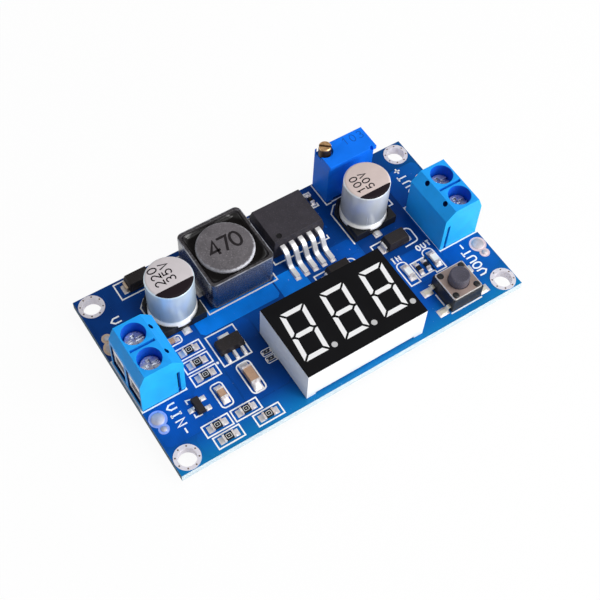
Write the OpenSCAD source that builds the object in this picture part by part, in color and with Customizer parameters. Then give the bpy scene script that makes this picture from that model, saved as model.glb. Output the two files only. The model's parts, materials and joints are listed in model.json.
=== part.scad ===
// Boost converter module: a switching regulator board with a three-digit meter,
// two screw terminals, a multi-turn trimmer and a push switch.
// +X runs along the board from the input to the output terminal, +Y from the
// meter's edge to the far edge, +Z up. The origin lies under the board's centre,
// at the level of the trimmed pin tips that the module stands on.

/* [Board] */
// Length of the board along X
board_l = 66; // [60:1:80]
// Width of the board along Y
board_w = 36; // [33:1:46]
// Thickness of the board
board_t = 1.6; // [0.8:0.2:2.4]
// Bore of the mounting holes
mount_hole_d = 3.1; // [2.2:0.1:3.3]
// Distance from a mounting hole's centre to each board edge
mount_inset = 2.3; // [2.3:0.1:2.6]
// Width of the plated ring round a mounting hole
mount_ring_w = 0.65; // [0.3:0.05:0.65]
// Wall of the plated sleeve in a mounting hole
sleeve_t = 0.1; // [0.05:0.05:0.2]
// Thickness of the tinned copper on the board's faces
plating_t = 0.06; // [0.04:0.01:0.1]
// How far the trimmed pins stand out below the board
pin_stub = 1.5; // [1:0.1:3]
// Play of a pin in its hole in the board
pin_play = 0.12; // [0.05:0.01:0.2]
// Height of the solder cones under the board
solder_h = 1.0; // [0.5:0.1:1]
// How far a solder cone reaches out from its pin
solder_reach = 0.55; // [0.3:0.05:0.7]

/* [Screw terminals] */
// Distance from the terminal's wire face to the board's end
terminal_inset = 0.3; // [0.1:0.1:1]
// Offset of the terminals from the board's middle along Y
terminal_shift = -0.35; // [-1:0.05:1]
// Distance between the two poles
pole_pitch = 5; // [5:0.01:5.4]
// Depth of the housing from the wire face to its back
terminal_d = 7.75; // [7.6:0.05:8.2]
// Height of the housing
terminal_h = 10; // [9.8:0.1:11]
// Height at which the wire face starts to slope back
wire_slope_z = 7.6; // [7.2:0.1:8]
// Lean of the wire face below that height
wire_lean = 0.2; // [0:0.05:0.3]
// Where the flat top starts behind the wire face
top_start = 1.2; // [0.8:0.1:1.4]
// Where the flat top ends and the back slope starts
top_end = 6; // [5.6:0.1:6.4]
// Height of the foot of the back slope
back_slope_z = 8.2; // [7.5:0.1:9]
// Diameter of the screwdriver wells
well_d = 3.9; // [3.7:0.1:4.1]
// Height of the ledge under the screw heads
ledge_z = 6.9; // [6.8:0.1:7.8]
// Thickness of that ledge
ledge_t = 0.4; // [0.3:0.1:0.5]
// Thickness of the housing's floor
floor_t = 0.5; // [0.4:0.1:0.6]
// Width of a clamp chamber along Y
chamber_w = 4.2; // [4:0.1:4.4]
// Where the chamber ends behind the wire face
chamber_end = 6.75; // [6.6:0.05:7]
// Distance from the wire face to the screw axis
screw_x = 3.45; // [3.3:0.05:3.6]
// Diameter of the screw head
screw_head_d = 3.5; // [3.3:0.1:3.6]
// Height of the screw head
screw_head_h = 0.9; // [0.8:0.1:1.5]
// Diameter of the screw's threaded shank
screw_d = 2.4; // [2:0.1:2.5]
// Running clearance round the shank
screw_play = 0.08; // [0.03:0.01:0.1]
// Width of the screwdriver slot
screw_slot_w = 0.6; // [0.4:0.1:0.8]
// Distance from the wire face to the clamp cage
cage_inset = 0.35; // [0.3:0.05:0.4]
// Length of the clamp cage along X
cage_l = 5.3; // [4.8:0.1:5.4]
// Height at which the cage stands above its lowest place
cage_lift = 0.6; // [0:0.05:1.2]
// Play between cage and chamber wall
cage_play = 0.1; // [0.08:0.01:0.2]
// Height of the clamp cage
cage_h = 4.1; // [4:0.1:4.2]
// Wall of the cage's sides and foot
cage_wall = 0.6; // [0.4:0.1:0.6]
// Thickness of the cage's threaded top
cage_top = 1.0; // [0.9:0.1:1.1]
// Thickness of the contact strip
contact_t = 0.5; // [0.4:0.1:0.6]
// Width of the contact strip
contact_w = 2.4; // [1.6:0.1:2.5]
// Distance from the cage's front to the tip of the contact strip
contact_inset = 1.0; // [0.1:0.1:1.5]
// Diameter of the contact's solder pin
contact_pin_d = 1.0; // [0.8:0.1:1.1]

// Width, depth and height of the joining grooves at the housing's ends
terminal_groove = [0.5, 0.45, 6.3]; // [0.3:0.05:7]
// Distance from a joining groove to the housing's back
groove_back = 0.8; // [0.6:0.05:1]
// Width of the parting slot across the top
parting_w = 0.5; // [0.3:0.05:0.6]
// Depth of the parting slot
parting_deep = 0.9; // [0.5:0.05:1.2]
// Distance from the parting slot's ends to the edges of the flat top
parting_margin = 0.25; // [0.1:0.05:0.5]
// Diameter of the blind holes in the back slope
slope_hole_d = 0.95; // [0.6:0.05:1.1]
// Depth of the blind holes in the back slope
slope_hole_deep = 0.7; // [0.4:0.05:0.8]
// Depth of the screwdriver slot
screw_slot_deep = 0.55; // [0.4:0.05:0.7]
// Gap under the screw head, on its ledge
screw_lift = 0.05; // [0.03:0.01:0.1]
// Gap between the cage and the chamber's floor, and over and behind the contact strip
clamp_gap = 0.1; // [0.08:0.01:0.12]

/* [Wire pads] */
// Diameter of the large wire pad beside each pole
wire_pad_d = 3.0; // [2:0.1:3.2]
// Diameter of the small wire pad
wire_pad_small_d = 1.8; // [1.2:0.1:2]
// Distance between the two pads of a pole
wire_pad_step = 1.95; // [1.8:0.05:2.2]
// Distance from the wire pads to the board's end
wire_pad_inset = 1.6; // [1.6:0.05:2]
// Distance from the terminal's end to the large pad
wire_pad_gap = 2.45; // [2:0.05:2.8]
// Height of the solder dome on a wire pad
wire_pad_dome = 0.3; // [0.1:0.02:0.4]
// Width of the flat tinned ring round the solder dome
wire_pad_rim = 0.35; // [0.2:0.05:0.45]

/* [Meter display] */
// Width of the display along X
display_l = 22.6; // [22.6:0.1:23.4]
// Depth of the display along Y
display_w = 14; // [14:0.1:14.4]
// Height of the display above the board
display_h = 7.2; // [6.5:0.1:8.5]
// Thickness of the black face
display_face_t = 0.1; // [0.05:0.05:0.3]
// Wall of the case round its pocket
display_wall = 0.9; // [0.6:0.1:1.1]
// Depth of the pocket in the underside
display_pocket = 2.4; // [2.2:0.1:2.8]
// Thickness of the light carrier board in the pocket
carrier_t = 0.8; // [0.4:0.1:0.8]
// Height of the gap between the case's corner feet
display_foot_h = 0.5; // [0.3:0.1:0.9]
// Length of the corner feet
display_foot_l = 1.7; // [1.2:0.1:2.4]
// Height of a digit
digit_h = 9.15; // [8:0.05:9.4]
// Width of a digit
digit_w = 4.6; // [4:0.1:4.8]
// Distance between digits
digit_pitch = 7.5; // [7.3:0.1:7.6]
// Width of a segment
segment_w = 0.8; // [0.7:0.05:1.2]
// Gap between segments
segment_gap = 0.36; // [0.15:0.01:0.4]
// Slant of the digits in degrees
digit_slant = 6; // [0:1:9]
// Diameter of the decimal points
point_d = 1.0; // [0.8:0.05:1.2]
// Depth of the light wells behind the segments
segment_depth = 3; // [1:0.1:3.2]
// Diameter of the display's pins
display_pin_d = 0.5; // [0.4:0.05:0.6]
// Distance between the display's two pin rows
display_pin_rows = 10.16; // [10:0.01:10.4]
// Distance between pins in a row
display_pin_pitch = 2.54; // [2.4:0.01:2.6]

/* [Inductor] */
// Side of the square shield
inductor_w = 12; // [11.5:0.1:12.2]
// Height of the inductor above the board
inductor_h = 7; // [6:0.1:8.5]
// Corner radius of the shield
shield_r = 1.1; // [1:0.1:2.2]
// Width of the shield's raised rim
shield_rim = 0.6; // [0.5:0.1:0.8]
// Depth of the sunk floor inside the rim
shield_sink = 0.8; // [0.4:0.1:1]
// Diameter of the drum core's flanges
core_d = 9.9; // [9:0.1:10.1]
// Gap between the core and the shield's bore
core_gap = 0.3; // [0.2:0.05:0.4]
// Radius of the core's top edge
core_edge_r = 0.45; // [0.2:0.05:0.6]
// Thickness of the core's flanges
core_flange = 1.2; // [0.8:0.1:1.5]
// Diameter of the core's post
core_post_d = 5; // [4:0.1:6]
// Gap that insulates the winding from the core
winding_gap = 0.05; // [0.03:0.01:0.1]
// Width of the inductor's solder tabs
inductor_tab_w = 5; // [4:0.1:6]
// Thickness of the inductor's solder tabs
inductor_tab_t = 0.24; // [0.15:0.01:0.3]
// How far the solder tabs reach under the shield
inductor_tab_in = 1.9; // [1.4:0.1:2.2]
// Height of the tabs' upright lips
inductor_lip_h = 0.9; // [0.6:0.1:1.5]
// How far the solder pads reach beyond the shield
inductor_pad_out = 0.7; // [0.4:0.05:0.8]
// Distance from the winding to the rim of the core's flanges
winding_margin = 0.4; // [0.3:0.05:0.8]

/* [Switching regulator] */
// Width of the regulator's body at its parting line
regulator_l = 10; // [9.6:0.1:10.2]
// Depth of the body at its parting line
regulator_w = 8; // [7.6:0.1:8.8]
// Height of the body
regulator_h = 4.4; // [4:0.1:4.8]
// Height of the parting line, at which the leads come out
regulator_part = 3.1; // [2.2:0.1:3.4]
// Draft of the moulded walls from the parting line to the top
regulator_draft = 0.3; // [0.2:0.05:0.5]
// Thickness of the cooling tab
regulator_tab_t = 1.27; // [1.1:0.01:1.4]
// How far the cooling tab stands out behind the body
regulator_tab_out = 1.3; // [1:0.1:1.6]
// Distance between the leads
regulator_pitch = 1.75; // [1.6:0.01:1.8]
// Width of a lead
regulator_lead_w = 0.9; // [0.6:0.05:1]
// Thickness of a lead
regulator_lead_t = 0.5; // [0.35:0.05:0.6]
// Reach of the leads in front of the body
regulator_lead_l = 5.2; // [4.6:0.1:5.4]
// How far the solder pads reach beyond the leads
regulator_pad_out = 0.5; // [0.3:0.05:0.6]
// How far the cooling pad reaches beyond the tab
tab_pad_out = 0.3; // [0.1:0.05:0.4]
// Diameter of the round mark at the first lead
first_lead_mark_d = 1.0; // [0.8:0.05:1.2]
// Depth of that mark
first_lead_mark_deep = 0.12; // [0.05:0.01:0.2]
// Distance from the mark's middle to the body's left and front sides
first_lead_mark_inset = [1.65, 1.2]; // [1:0.05:2]

/* [Electrolytic capacitors] */
// Diameter of a can
can_d = 8; // [7.5:0.1:8.1]
// Height of a can's top above the board
can_h = 10.2; // [8:0.1:12]
// Radius of the can's top edge
can_r = 0.5; // [0.3:0.05:0.8]
// Depth of the crimp groove
crimp_depth = 0.42; // [0.2:0.02:0.5]
// Side of the square base
cap_base_w = 8.3; // [8.3:0.1:8.5]
// Thickness of the base under the can
cap_base_t = 0.8; // [0.6:0.1:1]
// Height of the base's corner posts
cap_post_h = 2; // [1.4:0.1:2.4]
// Chamfer of the base's two marked corners
cap_chamfer = 1.5; // [1:0.1:2]
// Gap between the can's bead and the corner posts
can_gap = 0.15; // [0.1:0.05:0.3]
// Width of a solder tab
cap_tab_w = 0.9; // [0.6:0.1:1.2]
// Thickness of a solder tab
cap_tab_t = 0.24; // [0.15:0.01:0.3]
// How far a solder tab stands out from the base
cap_tab_out = 0.8; // [0.5:0.1:0.9]
// How far a solder tab reaches under the base
cap_tab_in = 2.5; // [2:0.1:3]
// How far a solder pad reaches beyond its tab
cap_pad_out = 0.3; // [0.1:0.05:0.3]
// Radius of the rolled bead at the can's foot
bead_r = 0.5; // [0.35:0.05:0.55]
// How far the bead stands out beyond the can's wall
bead_out = 0.18; // [0:0.01:0.25]

/* [Trimmer] */
// Length of the trimmer along X
trimmer_l = 9.5; // [9:0.1:9.6]
// Width of the trimmer along Y
trimmer_w = 4.83; // [4.6:0.01:4.9]
// Height of the trimmer's housing
trimmer_h = 10; // [9:0.1:11]
// How far the lid stands out over the front and right faces
trimmer_recess = 0.3; // [0.2:0.05:0.5]
// Thickness of the lid
trimmer_lip = 0.8; // [0.6:0.1:1.2]
// Side of the notch in the lid's front right corner
trimmer_notch = 0.5; // [0.3:0.05:0.6]
// Length of the feet under the housing's ends
trimmer_foot_l = 1.5; // [1.2:0.1:2]
// Height of the feet under the housing
trimmer_foot = 0.4; // [0.2:0.1:0.8]
// Diameter of the adjusting screw's head
adjuster_d = 2.2; // [1.8:0.05:2.3]
// Height of the head above the housing
adjuster_out = 1.4; // [0.8:0.1:1.8]
// Depth of the pocket round the head
adjuster_pocket = 0.9; // [0.6:0.1:1.2]
// Gap between the head and its pocket
adjuster_gap = 0.35; // [0.25:0.05:0.4]
// Diameter of the screw's journal in the housing
journal_d = 1.4; // [1:0.1:1.5]
// Length of the journal
journal_l = 2.6; // [1.5:0.1:4]
// Running clearance round the journal
journal_play = 0.06; // [0.03:0.01:0.1]
// Distance from the screw's axis to the housing's two nearest sides
adjuster_inset = 1.22; // [1.15:0.01:1.3]
// Diameter of the trimmer's pins
trimmer_pin_d = 0.5; // [0.4:0.05:0.6]
// Distance between the trimmer's pins
trimmer_pin_pitch = 2.54; // [2.4:0.01:2.6]

/* [Push switch] */
// Side of the switch's square body
switch_w = 6; // [5.8:0.1:6.1]
// Height of the cover plate's top above the board
switch_h = 3.5; // [3.3:0.1:3.8]
// Thickness of the cover plate
cover_t = 0.3; // [0.2:0.05:0.4]
// Margin of the cover plate inside the body's outline
cover_margin = 0.12; // [0.05:0.01:0.2]
// Diameter of the button
button_d = 3.5; // [3.2:0.1:3.6]
// Height of the button above the cover plate
button_out = 1.8; // [0.6:0.1:2]
// Travel of the button
button_travel = 0.25; // [0.2:0.01:0.3]
// Gap round the button in the cover plate
button_gap = 0.1; // [0.06:0.01:0.15]
// Distance of the staked pegs from the switch's middle
peg_offset = 2.15; // [2.1:0.05:2.3]
// Diameter of the staked pegs' heads
peg_d = 1.2; // [0.8:0.05:1.25]
// Height of the snap dome
dome_h = 0.5; // [0.4:0.02:0.6]
// Thickness of the snap dome
dome_t = 0.1; // [0.06:0.01:0.12]
// Width of a switch lead
switch_lead_w = 0.7; // [0.5:0.05:0.9]
// Thickness of a switch lead
switch_lead_t = 0.2; // [0.15:0.01:0.3]
// Reach of the leads beyond the body
switch_lead_l = 1.75; // [1.4:0.05:1.9]
// Distance between the two leads of a side
switch_lead_pitch = 4.45; // [4.2:0.05:4.6]
// Distance from the switch's side to its solder pads
switch_pad_in = 0.3; // [0.2:0.05:0.6]
// How far the switch's solder pads reach beyond its leads
switch_pad_out = 0.45; // [0.3:0.05:0.5]

/* [Diodes and small packages] */
// Length, width and height of a diode's moulded body
diode_size = [4.3, 2.6, 2.3]; // [1:0.1:5]
// Width of a diode lead
diode_lead_w = 1.5; // [1.2:0.1:1.8]
// Thickness of a diode lead
diode_lead_t = 0.2; // [0.15:0.01:0.25]
// Reach of a diode lead beyond the body
diode_lead_out = 0.4; // [0.3:0.05:0.6]
// How far a diode lead folds back under the body
diode_lead_in = 0.9; // [0.6:0.05:1.1]
// How far a diode's solder pad reaches beyond its lead
diode_pad_out = 0.5; // [0.3:0.05:0.6]
// Length, width and height of the logic supply regulator's body
logic_size = [4.5, 2.5, 1.5]; // [1:0.1:5]
// Length, width and height of the transistor's body
transistor_size = [1.35, 2.9, 1.0]; // [0.8:0.05:3]
// Length, width and height of the meter controller's body
controller_size = [6.5, 4.4, 1.0]; // [0.8:0.1:7]

/* [Chip parts] */
// Length, width and height of the larger chip resistors
resistor_size = [2.0, 1.25, 0.5]; // [0.4:0.05:2.2]
// Length, width and height of the smaller chip resistors
small_resistor_size = [1.6, 0.8, 0.45]; // [0.3:0.05:1.8]
// Length, width and height of the small parts beside the display
tiny_size = [1.0, 0.5, 0.35]; // [0.2:0.05:1.2]
// Length, width and height of the large ceramic capacitor
big_ceramic_size = [3.2, 1.6, 1.25]; // [0.6:0.05:3.4]
// Length, width and height of the middle ceramic capacitor
ceramic_size = [2.0, 1.25, 0.9]; // [0.6:0.05:2.2]
// Length, width and height of the small ceramic capacitor
small_ceramic_size = [1.6, 0.8, 0.8]; // [0.6:0.05:1.8]
// Length, width and height of the indicator lights
indicator_size = [2.0, 1.25, 0.7]; // [0.4:0.05:2.2]
// Length of a chip's metal end, as it wraps the body
chip_end_l = 0.35; // [0.2:0.05:0.45]
// Thickness of the metal of a chip's ends
chip_end_t = 0.04; // [0.02:0.01:0.06]
// How far a solder pad reaches beyond a chip's end, as a share of the chip's length
chip_pad_reach = 0.375; // [0.2:0.025:0.4]

/* [Layout] */
// Gaps of the back row from terminal to terminal, as shares of its free length
back_row_gaps = [1.1, 1.4, 1.9, 3.9, 3]; // [0.5:0.1:5]
// Gaps of the front row from mounting hole to mounting hole, as shares of its free length
front_row_gaps = [2.65, 1.15, 4.75, 4.8, 1.45]; // [0.5:0.05:6]
// Gaps of the middle row from the input terminal to the display, as shares of its free length
middle_row_gaps = [1.95, 2.05, 3.1]; // [0.5:0.05:4]
// Gaps of the left column from front edge to back edge, as shares of its free length
left_column_gaps = [1.22, 1.32, 1.06, 0.62, 2.12, 1.05, 0.9]; // [0.5:0.01:3]
// Gaps of the display's column from front edge to back edge, as shares of its free length
display_column_gaps = [1, 1.45, 1.15, 0.5]; // [0.3:0.05:2]
// Gaps of the output column from front edge to back edge, as shares of its free length
output_column_gaps = [1.6, 2.35, 3.15, 1.2, 0.07, 0.2]; // [0.05:0.01:4]
// Distance from the board's back edge to the inductor
inductor_back = 1.5; // [1.2:0.1:2]
// Offset of the front chip of each chip column from the chip behind it
front_stagger = [0.55, 2.55]; // [0:0.05:3]
// Distance between the resistors of the row behind the input terminal
resistor_pitch = 2.63; // [2.2:0.01:2.7]
// Offset of the input diode from the input capacitor along X
input_diode_shift = -2.2; // [-2.4:0.1:0]
// Offset of the rectifier from the switching regulator along X
rectifier_shift = 2.8; // [0:0.1:3]
// Offset of the output diode from the output capacitor along X
output_diode_shift = 1.45; // [0:0.05:1.6]
// Offset of the trimmer's left side from the output capacitor's
trimmer_shift = 0.33; // [0:0.01:1]
// Offset of the feedback resistor from the trimmer's middle along Y
feedback_shift = -0.25; // [-0.5:0.05:0.5]
// Offset of the indicator group from the push switch along X
indicator_shift = -1.85; // [-2:0.05:-1.5]
// Distance between the two indicator lights
indicator_pitch = 5.4; // [5.3:0.1:5.6]
// Distance between the two resistors of the indicators
indicator_resistor_pitch = 1.52; // [1.2:0.02:1.6]
// Offset of those resistors from the indicators along Y
indicator_resistor_shift = -0.3; // [-0.5:0.05:0.5]
// Offset of the transistor from the first chip column's left side and the large ceramic capacitor
transistor_shift = [0.85, -0.15]; // [-1:0.05:1]
// Offset of the large ceramic capacitor from the second chip column's left side
big_ceramic_shift = 5.4; // [5:0.05:5.6]
// Offset of the middle ceramic capacitor from the second chip column's left side and the large one
ceramic_shift = [-0.15, -0.3]; // [-0.5:0.05:0.5]
// Offset of the small ceramic capacitor from the input terminal's back and the input capacitor's base
small_ceramic_shift = [2.1, -1.1]; // [-1.2:0.05:2.2]
// Offset of the logic regulator from the display's back along Y
logic_shift = 0.6; // [0.4:0.05:0.8]
// Offset of the small parts beside the display from its front left corner
tiny_shift = [-0.95, 9]; // [-1.2:0.05:9.4]
// Distance between those small parts
tiny_pitch = 1.4; // [1.2:0.05:1.6]

/* [Hidden] */
$fn = 48;
// Overlap that makes a cut run clean through a face
eps = 0.2;
// Clearance of a solder cone round its pin
solder_play = 0.01;
board_top = pin_stub + board_t;
pin_tip = -board_top;
wire_hole_r = wire_pad_d / 2 - 1.7 * wire_pad_rim;

// Sum of the first n numbers of a list
function total(list, n) = n == 0 ? 0 : list[n - 1] + total(list, n - 1);

// Start of part i in a row whose gaps share the free length in their proportions
function row_start(length, parts, gaps, i) =
  let (share = (length - total(parts, len(parts))) / total(gaps, len(gaps)))
  total(parts, i) + share * total(gaps, i);

// Room that parts take up on the board, with their pads
function chip_span(size) = size[0] * (1 + 2 * chip_pad_reach);
terminal_end = terminal_inset + terminal_d;
mount_end = mount_inset + mount_hole_d / 2 + mount_ring_w;
cap_span = cap_base_w + 2 * (cap_tab_out + cap_pad_out);
regulator_toe = regulator_lead_l + regulator_pad_out;
regulator_span = regulator_toe + regulator_w + regulator_tab_out + tab_pad_out;
switch_span = switch_w + 2 * switch_lead_l;
chip_columns = [for (s = front_stagger) chip_span(resistor_size) + s];

// Rows along X and columns along Y: what stands in each, from edge to edge
back_row = [terminal_end, cap_base_w, inductor_w, regulator_l, cap_base_w, terminal_end];
front_row = [mount_end, chip_columns[0], chip_columns[1], display_l, switch_span, mount_end];
middle_row = [0, chip_span(resistor_size), logic_size[0], 0];
left_column = [
  0, resistor_size[1], resistor_size[1], chip_span(big_ceramic_size),
  resistor_size[1] + 2 * resistor_pitch, cap_span, diode_size[1], 0
];
display_column = [0, display_w, diode_size[1], regulator_span, 0];
output_column = [0, switch_w, chip_span(indicator_size), diode_size[1], cap_span, trimmer_w, 0];
function back_x(i) = row_start(board_l, back_row, back_row_gaps, i);
function front_x(i) = row_start(board_l, front_row, front_row_gaps, i);
function left_y(i) = row_start(board_w, left_column, left_column_gaps, i);
function display_col_y(i) = row_start(board_w, display_column, display_column_gaps, i);
function output_y(i) = row_start(board_w, output_column, output_column_gaps, i);

// Places on the board, measured from its front left corner
terminal_l = 2 * pole_pitch;
terminal_y = board_w / 2 + terminal_shift;
input_cap_at = [back_x(1) + cap_base_w / 2, left_y(5) + cap_span / 2];
inductor_at = [back_x(2) + inductor_w / 2, board_w - inductor_back - inductor_w / 2];
regulator_at = [back_x(3) + regulator_l / 2, display_col_y(3) + regulator_toe + regulator_w / 2];
output_cap_at = [back_x(4) + cap_base_w / 2, output_y(4) + cap_span / 2];
trimmer_at = [back_x(4) + trimmer_shift + trimmer_l / 2, output_y(5) + trimmer_w / 2];
display_x = front_x(3);
display_y = display_col_y(1);
display_at = [display_x + display_l / 2, display_y + display_w / 2];
switch_at = [front_x(4) + switch_span / 2, output_y(1) + switch_w / 2];
indicator_at = [switch_at[0] + indicator_shift, output_y(2) + chip_span(indicator_size) / 2];
input_diode_at = [input_cap_at[0] + input_diode_shift, left_y(6) + diode_size[1] / 2];
rectifier_at = [regulator_at[0] + rectifier_shift, display_col_y(2) + diode_size[1] / 2];
output_diode_at = [output_cap_at[0] + output_diode_shift, output_y(3) + diode_size[1] / 2];
middle_length = display_x - terminal_end;
function middle_x(i) = terminal_end + row_start(middle_length, middle_row, middle_row_gaps, i);
logic_at = [middle_x(2) + logic_size[0] / 2, display_y + display_w + logic_shift];
mount_points = [
  for (x = [mount_inset, board_l - mount_inset], y = [mount_inset, board_w - mount_inset]) [x, y]
];

// Chip parts: places of each group
resistor_row = [
  for (i = [0:2]) [
    middle_x(1) + chip_span(resistor_size) / 2,
    left_y(4) + resistor_size[1] / 2 + i * resistor_pitch
  ]
];
resistor_front = [
  for (column = [0, 1], row = [0, 1]) [
    front_x(1 + column) + chip_span(resistor_size) / 2 + (1 - row) * front_stagger[column],
    left_y(1 + row) + resistor_size[1] / 2
  ]
];
indicator_resistors = [
  for (s = [-1, 1]) indicator_at + [s * indicator_resistor_pitch / 2, indicator_resistor_shift]
];
feedback_resistor = [
  (back_x(3) + regulator_l + back_x(4) + trimmer_shift) / 2, trimmer_at[1] + feedback_shift
];
tiny_parts = [for (i = [0, 1]) [display_x + tiny_shift[0], display_y + tiny_shift[1] + i * tiny_pitch]];
big_ceramic_at = [front_x(2) + big_ceramic_shift, left_y(3) + chip_span(big_ceramic_size) / 2];
ceramic_at = [front_x(2) + ceramic_shift[0], big_ceramic_at[1] + ceramic_shift[1]];
transistor_at = [front_x(1) + transistor_shift[0], big_ceramic_at[1] + transistor_shift[1]];
small_ceramic_at = [terminal_end, input_cap_at[1] - cap_base_w / 2] + small_ceramic_shift;
indicator_points = [for (s = [-1, 1]) indicator_at + [s * indicator_pitch / 2, 0]];

// Terminal places seen from the wire face
chamber_top = ledge_z - ledge_t;
cage_low = floor_t + clamp_gap;
cage_gate_h = cage_h - cage_top - cage_wall;
contact_z = cage_low + cage_h - cage_top - clamp_gap - contact_t;
contact_leg_x = cage_inset + cage_l + 2 * clamp_gap + contact_t / 2;

// Display levels
display_case_h = display_h - display_face_t;
carrier_z = display_pocket - carrier_t;
carrier_play = 0.1;

// Switch levels
cover_z = switch_h - cover_t;
dome_floor = 0.9;
dome_gap = 0.05;
button_foot = dome_floor + dome_h + dome_gap;
button_flange_top = cover_z - 0.05;
button_flange_d = button_d + 0.7;

function unit(v) = v / norm(v);

// Points of a smooth bend at b between the runs from a and to c, starting r before b
function bend(a, b, c, r, n = 5) =
  let (p = b + r * unit(a - b), q = b + r * unit(c - b))
  [for (k = [0:n]) let (t = k / n) (1 - t) * (1 - t) * p + 2 * t * (1 - t) * b + t * t * q];

// A path with every inner corner replaced by a smooth bend
function bent(path, r) = [
  path[0],
  for (i = [1:len(path) - 2]) each bend(path[i - 1], path[i], path[i + 1], r),
  path[len(path) - 1]
];

// Points beside a path, at a distance to its left
function beside(path, off) = [
  for (i = [0:len(path) - 1])
    let (d = unit(path[min(i + 1, len(path) - 1)] - path[max(i - 1, 0)]))
    path[i] + off * [-d[1], d[0]]
];

function reversed(list) = [for (i = [len(list) - 1:-1:0]) list[i]];

// Flat outline of a strip of thickness t that follows a path
module strip(path, t) {
  polygon(concat(beside(path, t / 2), reversed(beside(path, -t / 2))));
}

// Moves children to a place on the board's top face
module at(p, h = 0) {
  translate([p[0] - board_l / 2, p[1] - board_w / 2, board_top + h]) children();
}

// Raises an outline drawn in X and Z to a bar of width w along Y
module bar_y(w) {
  rotate([90, 0, 0]) linear_extrude(height = w, center = true) children();
}

// Raises an outline drawn in Y and Z to a bar of width w along X
module bar_x(w) {
  rotate([90, 0, 90]) linear_extrude(height = w, center = true) children();
}

// Box with its foot on z = 0, centred along X and Y
module block(size) {
  translate([-size[0] / 2, -size[1] / 2, 0]) cube(size);
}

// Square prism with round corners
module rounded_block(w, r, h) {
  linear_extrude(height = h) {
    square([w, w - 2 * r], center = true);
    square([w - 2 * r, w], center = true);
    for (x = [-1, 1], y = [-1, 1]) translate([x, y] * (w / 2 - r)) circle(r);
  }
}

// Half outline of a moulded wall: foot, parting line and top
function draft_outline(half, foot, top, part, h) = [
  [half - foot, 0], [half, part], [half - top, h],
  [top - half, h], [-half, part], [foot - half, 0]
];

// Moulded package body with drafted walls that meet at a parting line
module moulded_body(size, draft, part) {
  intersection() {
    bar_y(size[1] + eps) polygon(draft_outline(size[0] / 2, draft / 3, draft, part, size[2]));
    bar_x(size[0] + eps) polygon(draft_outline(size[1] / 2, draft / 3, draft, part, size[2]));
  }
}

// Hole through the board
module drill(r) {
  translate([0, 0, -board_t - eps]) cylinder(h = board_t + 2 * eps, r = r);
}

// Round pin from a level above the board down to its trimmed tip
module pin(d, from) {
  translate([0, 0, pin_tip]) cylinder(h = from - pin_tip, d = d);
}

// Solder cone round a pin under the board
module solder_cone(d) {
  r = d / 2 + solder_play;
  rotate_extrude() polygon([
    [r, -board_t], [d / 2 + solder_reach, -board_t],
    [d / 2 + solder_reach * 0.45, -board_t - solder_h * 0.45],
    [d / 2 + solder_reach * 0.15, -board_t - solder_h], [r, -board_t - solder_h]
  ]);
}

// Plated sleeve with a flat ring on both faces of the board
module eyelet() {
  bore = mount_hole_d / 2;
  difference() {
    union() {
      cylinder(h = plating_t, r = bore + mount_ring_w);
      translate([0, 0, -board_t]) cylinder(h = board_t, r = bore + sleeve_t);
      translate([0, 0, -board_t - plating_t]) cylinder(h = plating_t, r = bore + mount_ring_w);
    }
    drill(bore);
  }
}

// Turns children for each terminal: 0 is the input side, 1 the output side
module at_terminal(side) {
  x = side == 0 ? terminal_inset : board_l - terminal_inset;
  at([x, terminal_y]) rotate(180 * side) children();
}

// Places children at each wire pad of the board
module at_wire_pads(step) {
  for (x = [wire_pad_inset, board_l - wire_pad_inset], s = [-1, 1])
    at([x, terminal_y + s * (terminal_l / 2 + wire_pad_gap + step)]) children();
}

// Places children at each of the display's pins
module at_display_pins() {
  for (row = [-1, 1], i = [0:row < 0 ? 5 : 4])
    at(display_at + [(i - 2.5) * display_pin_pitch, row * display_pin_rows / 2]) children();
}

// Places children at each of the trimmer's pins
module at_trimmer_pins() {
  for (i = [-1:1]) at(trimmer_at + [i * trimmer_pin_pitch, 0]) children();
}

// Places children at each terminal pole's solder pin
module at_contact_pins(side) {
  at_terminal(side) for (s = [-1, 1]) translate([contact_leg_x, s * pole_pitch / 2, 0]) children();
}

module circuit_board() {
  color([0.02, 0.16, 0.55]) difference() {
    translate([-board_l / 2, -board_w / 2, pin_stub]) cube([board_l, board_w, board_t]);
    for (p = mount_points) at(p) drill(mount_hole_d / 2 + sleeve_t);
    at_wire_pads(0) drill(wire_hole_r);
    for (side = [0, 1]) at_contact_pins(side) drill(contact_pin_d / 2 + pin_play);
    at_display_pins() drill(display_pin_d / 2 + pin_play);
    at_trimmer_pins() drill(trimmer_pin_d / 2 + pin_play);
  }
}

module mounting_hole_plating() {
  color([0.8, 0.8, 0.8]) for (p = mount_points) at(p) eyelet();
}

// Flat tinned ring of diameter d with a low solder dome inside it
module solder_dome(d) {
  n = 6;
  r = d / 2 - wire_pad_rim;
  rotate_extrude() polygon([
    [0, 0], [d / 2, 0], [d / 2, plating_t],
    for (k = [0:n]) [r * cos(90 * k / n), plating_t + wire_pad_dome * sin(90 * k / n)]
  ]);
}

module wire_pads() {
  color([0.78, 0.76, 0.76]) {
    at_wire_pads(0) {
      solder_dome(wire_pad_d);
      translate([0, 0, -board_t]) cylinder(h = board_t, r = wire_hole_r);
      translate([0, 0, -board_t]) mirror([0, 0, 1]) solder_dome(wire_pad_d);
    }
    at_wire_pads(wire_pad_step) solder_dome(wire_pad_small_d);
  }
}

// Two pads under the ends of a part that lies along X
module end_pads(inner, outer, w) {
  for (s = [-1, 1]) translate([s * (inner + outer) / 2, 0, 0]) block([outer - inner, w, plating_t]);
}

module chip_pads(size) {
  end_pads(size[0] / 2 - chip_end_l, chip_span(size) / 2, size[1]);
}

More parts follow.
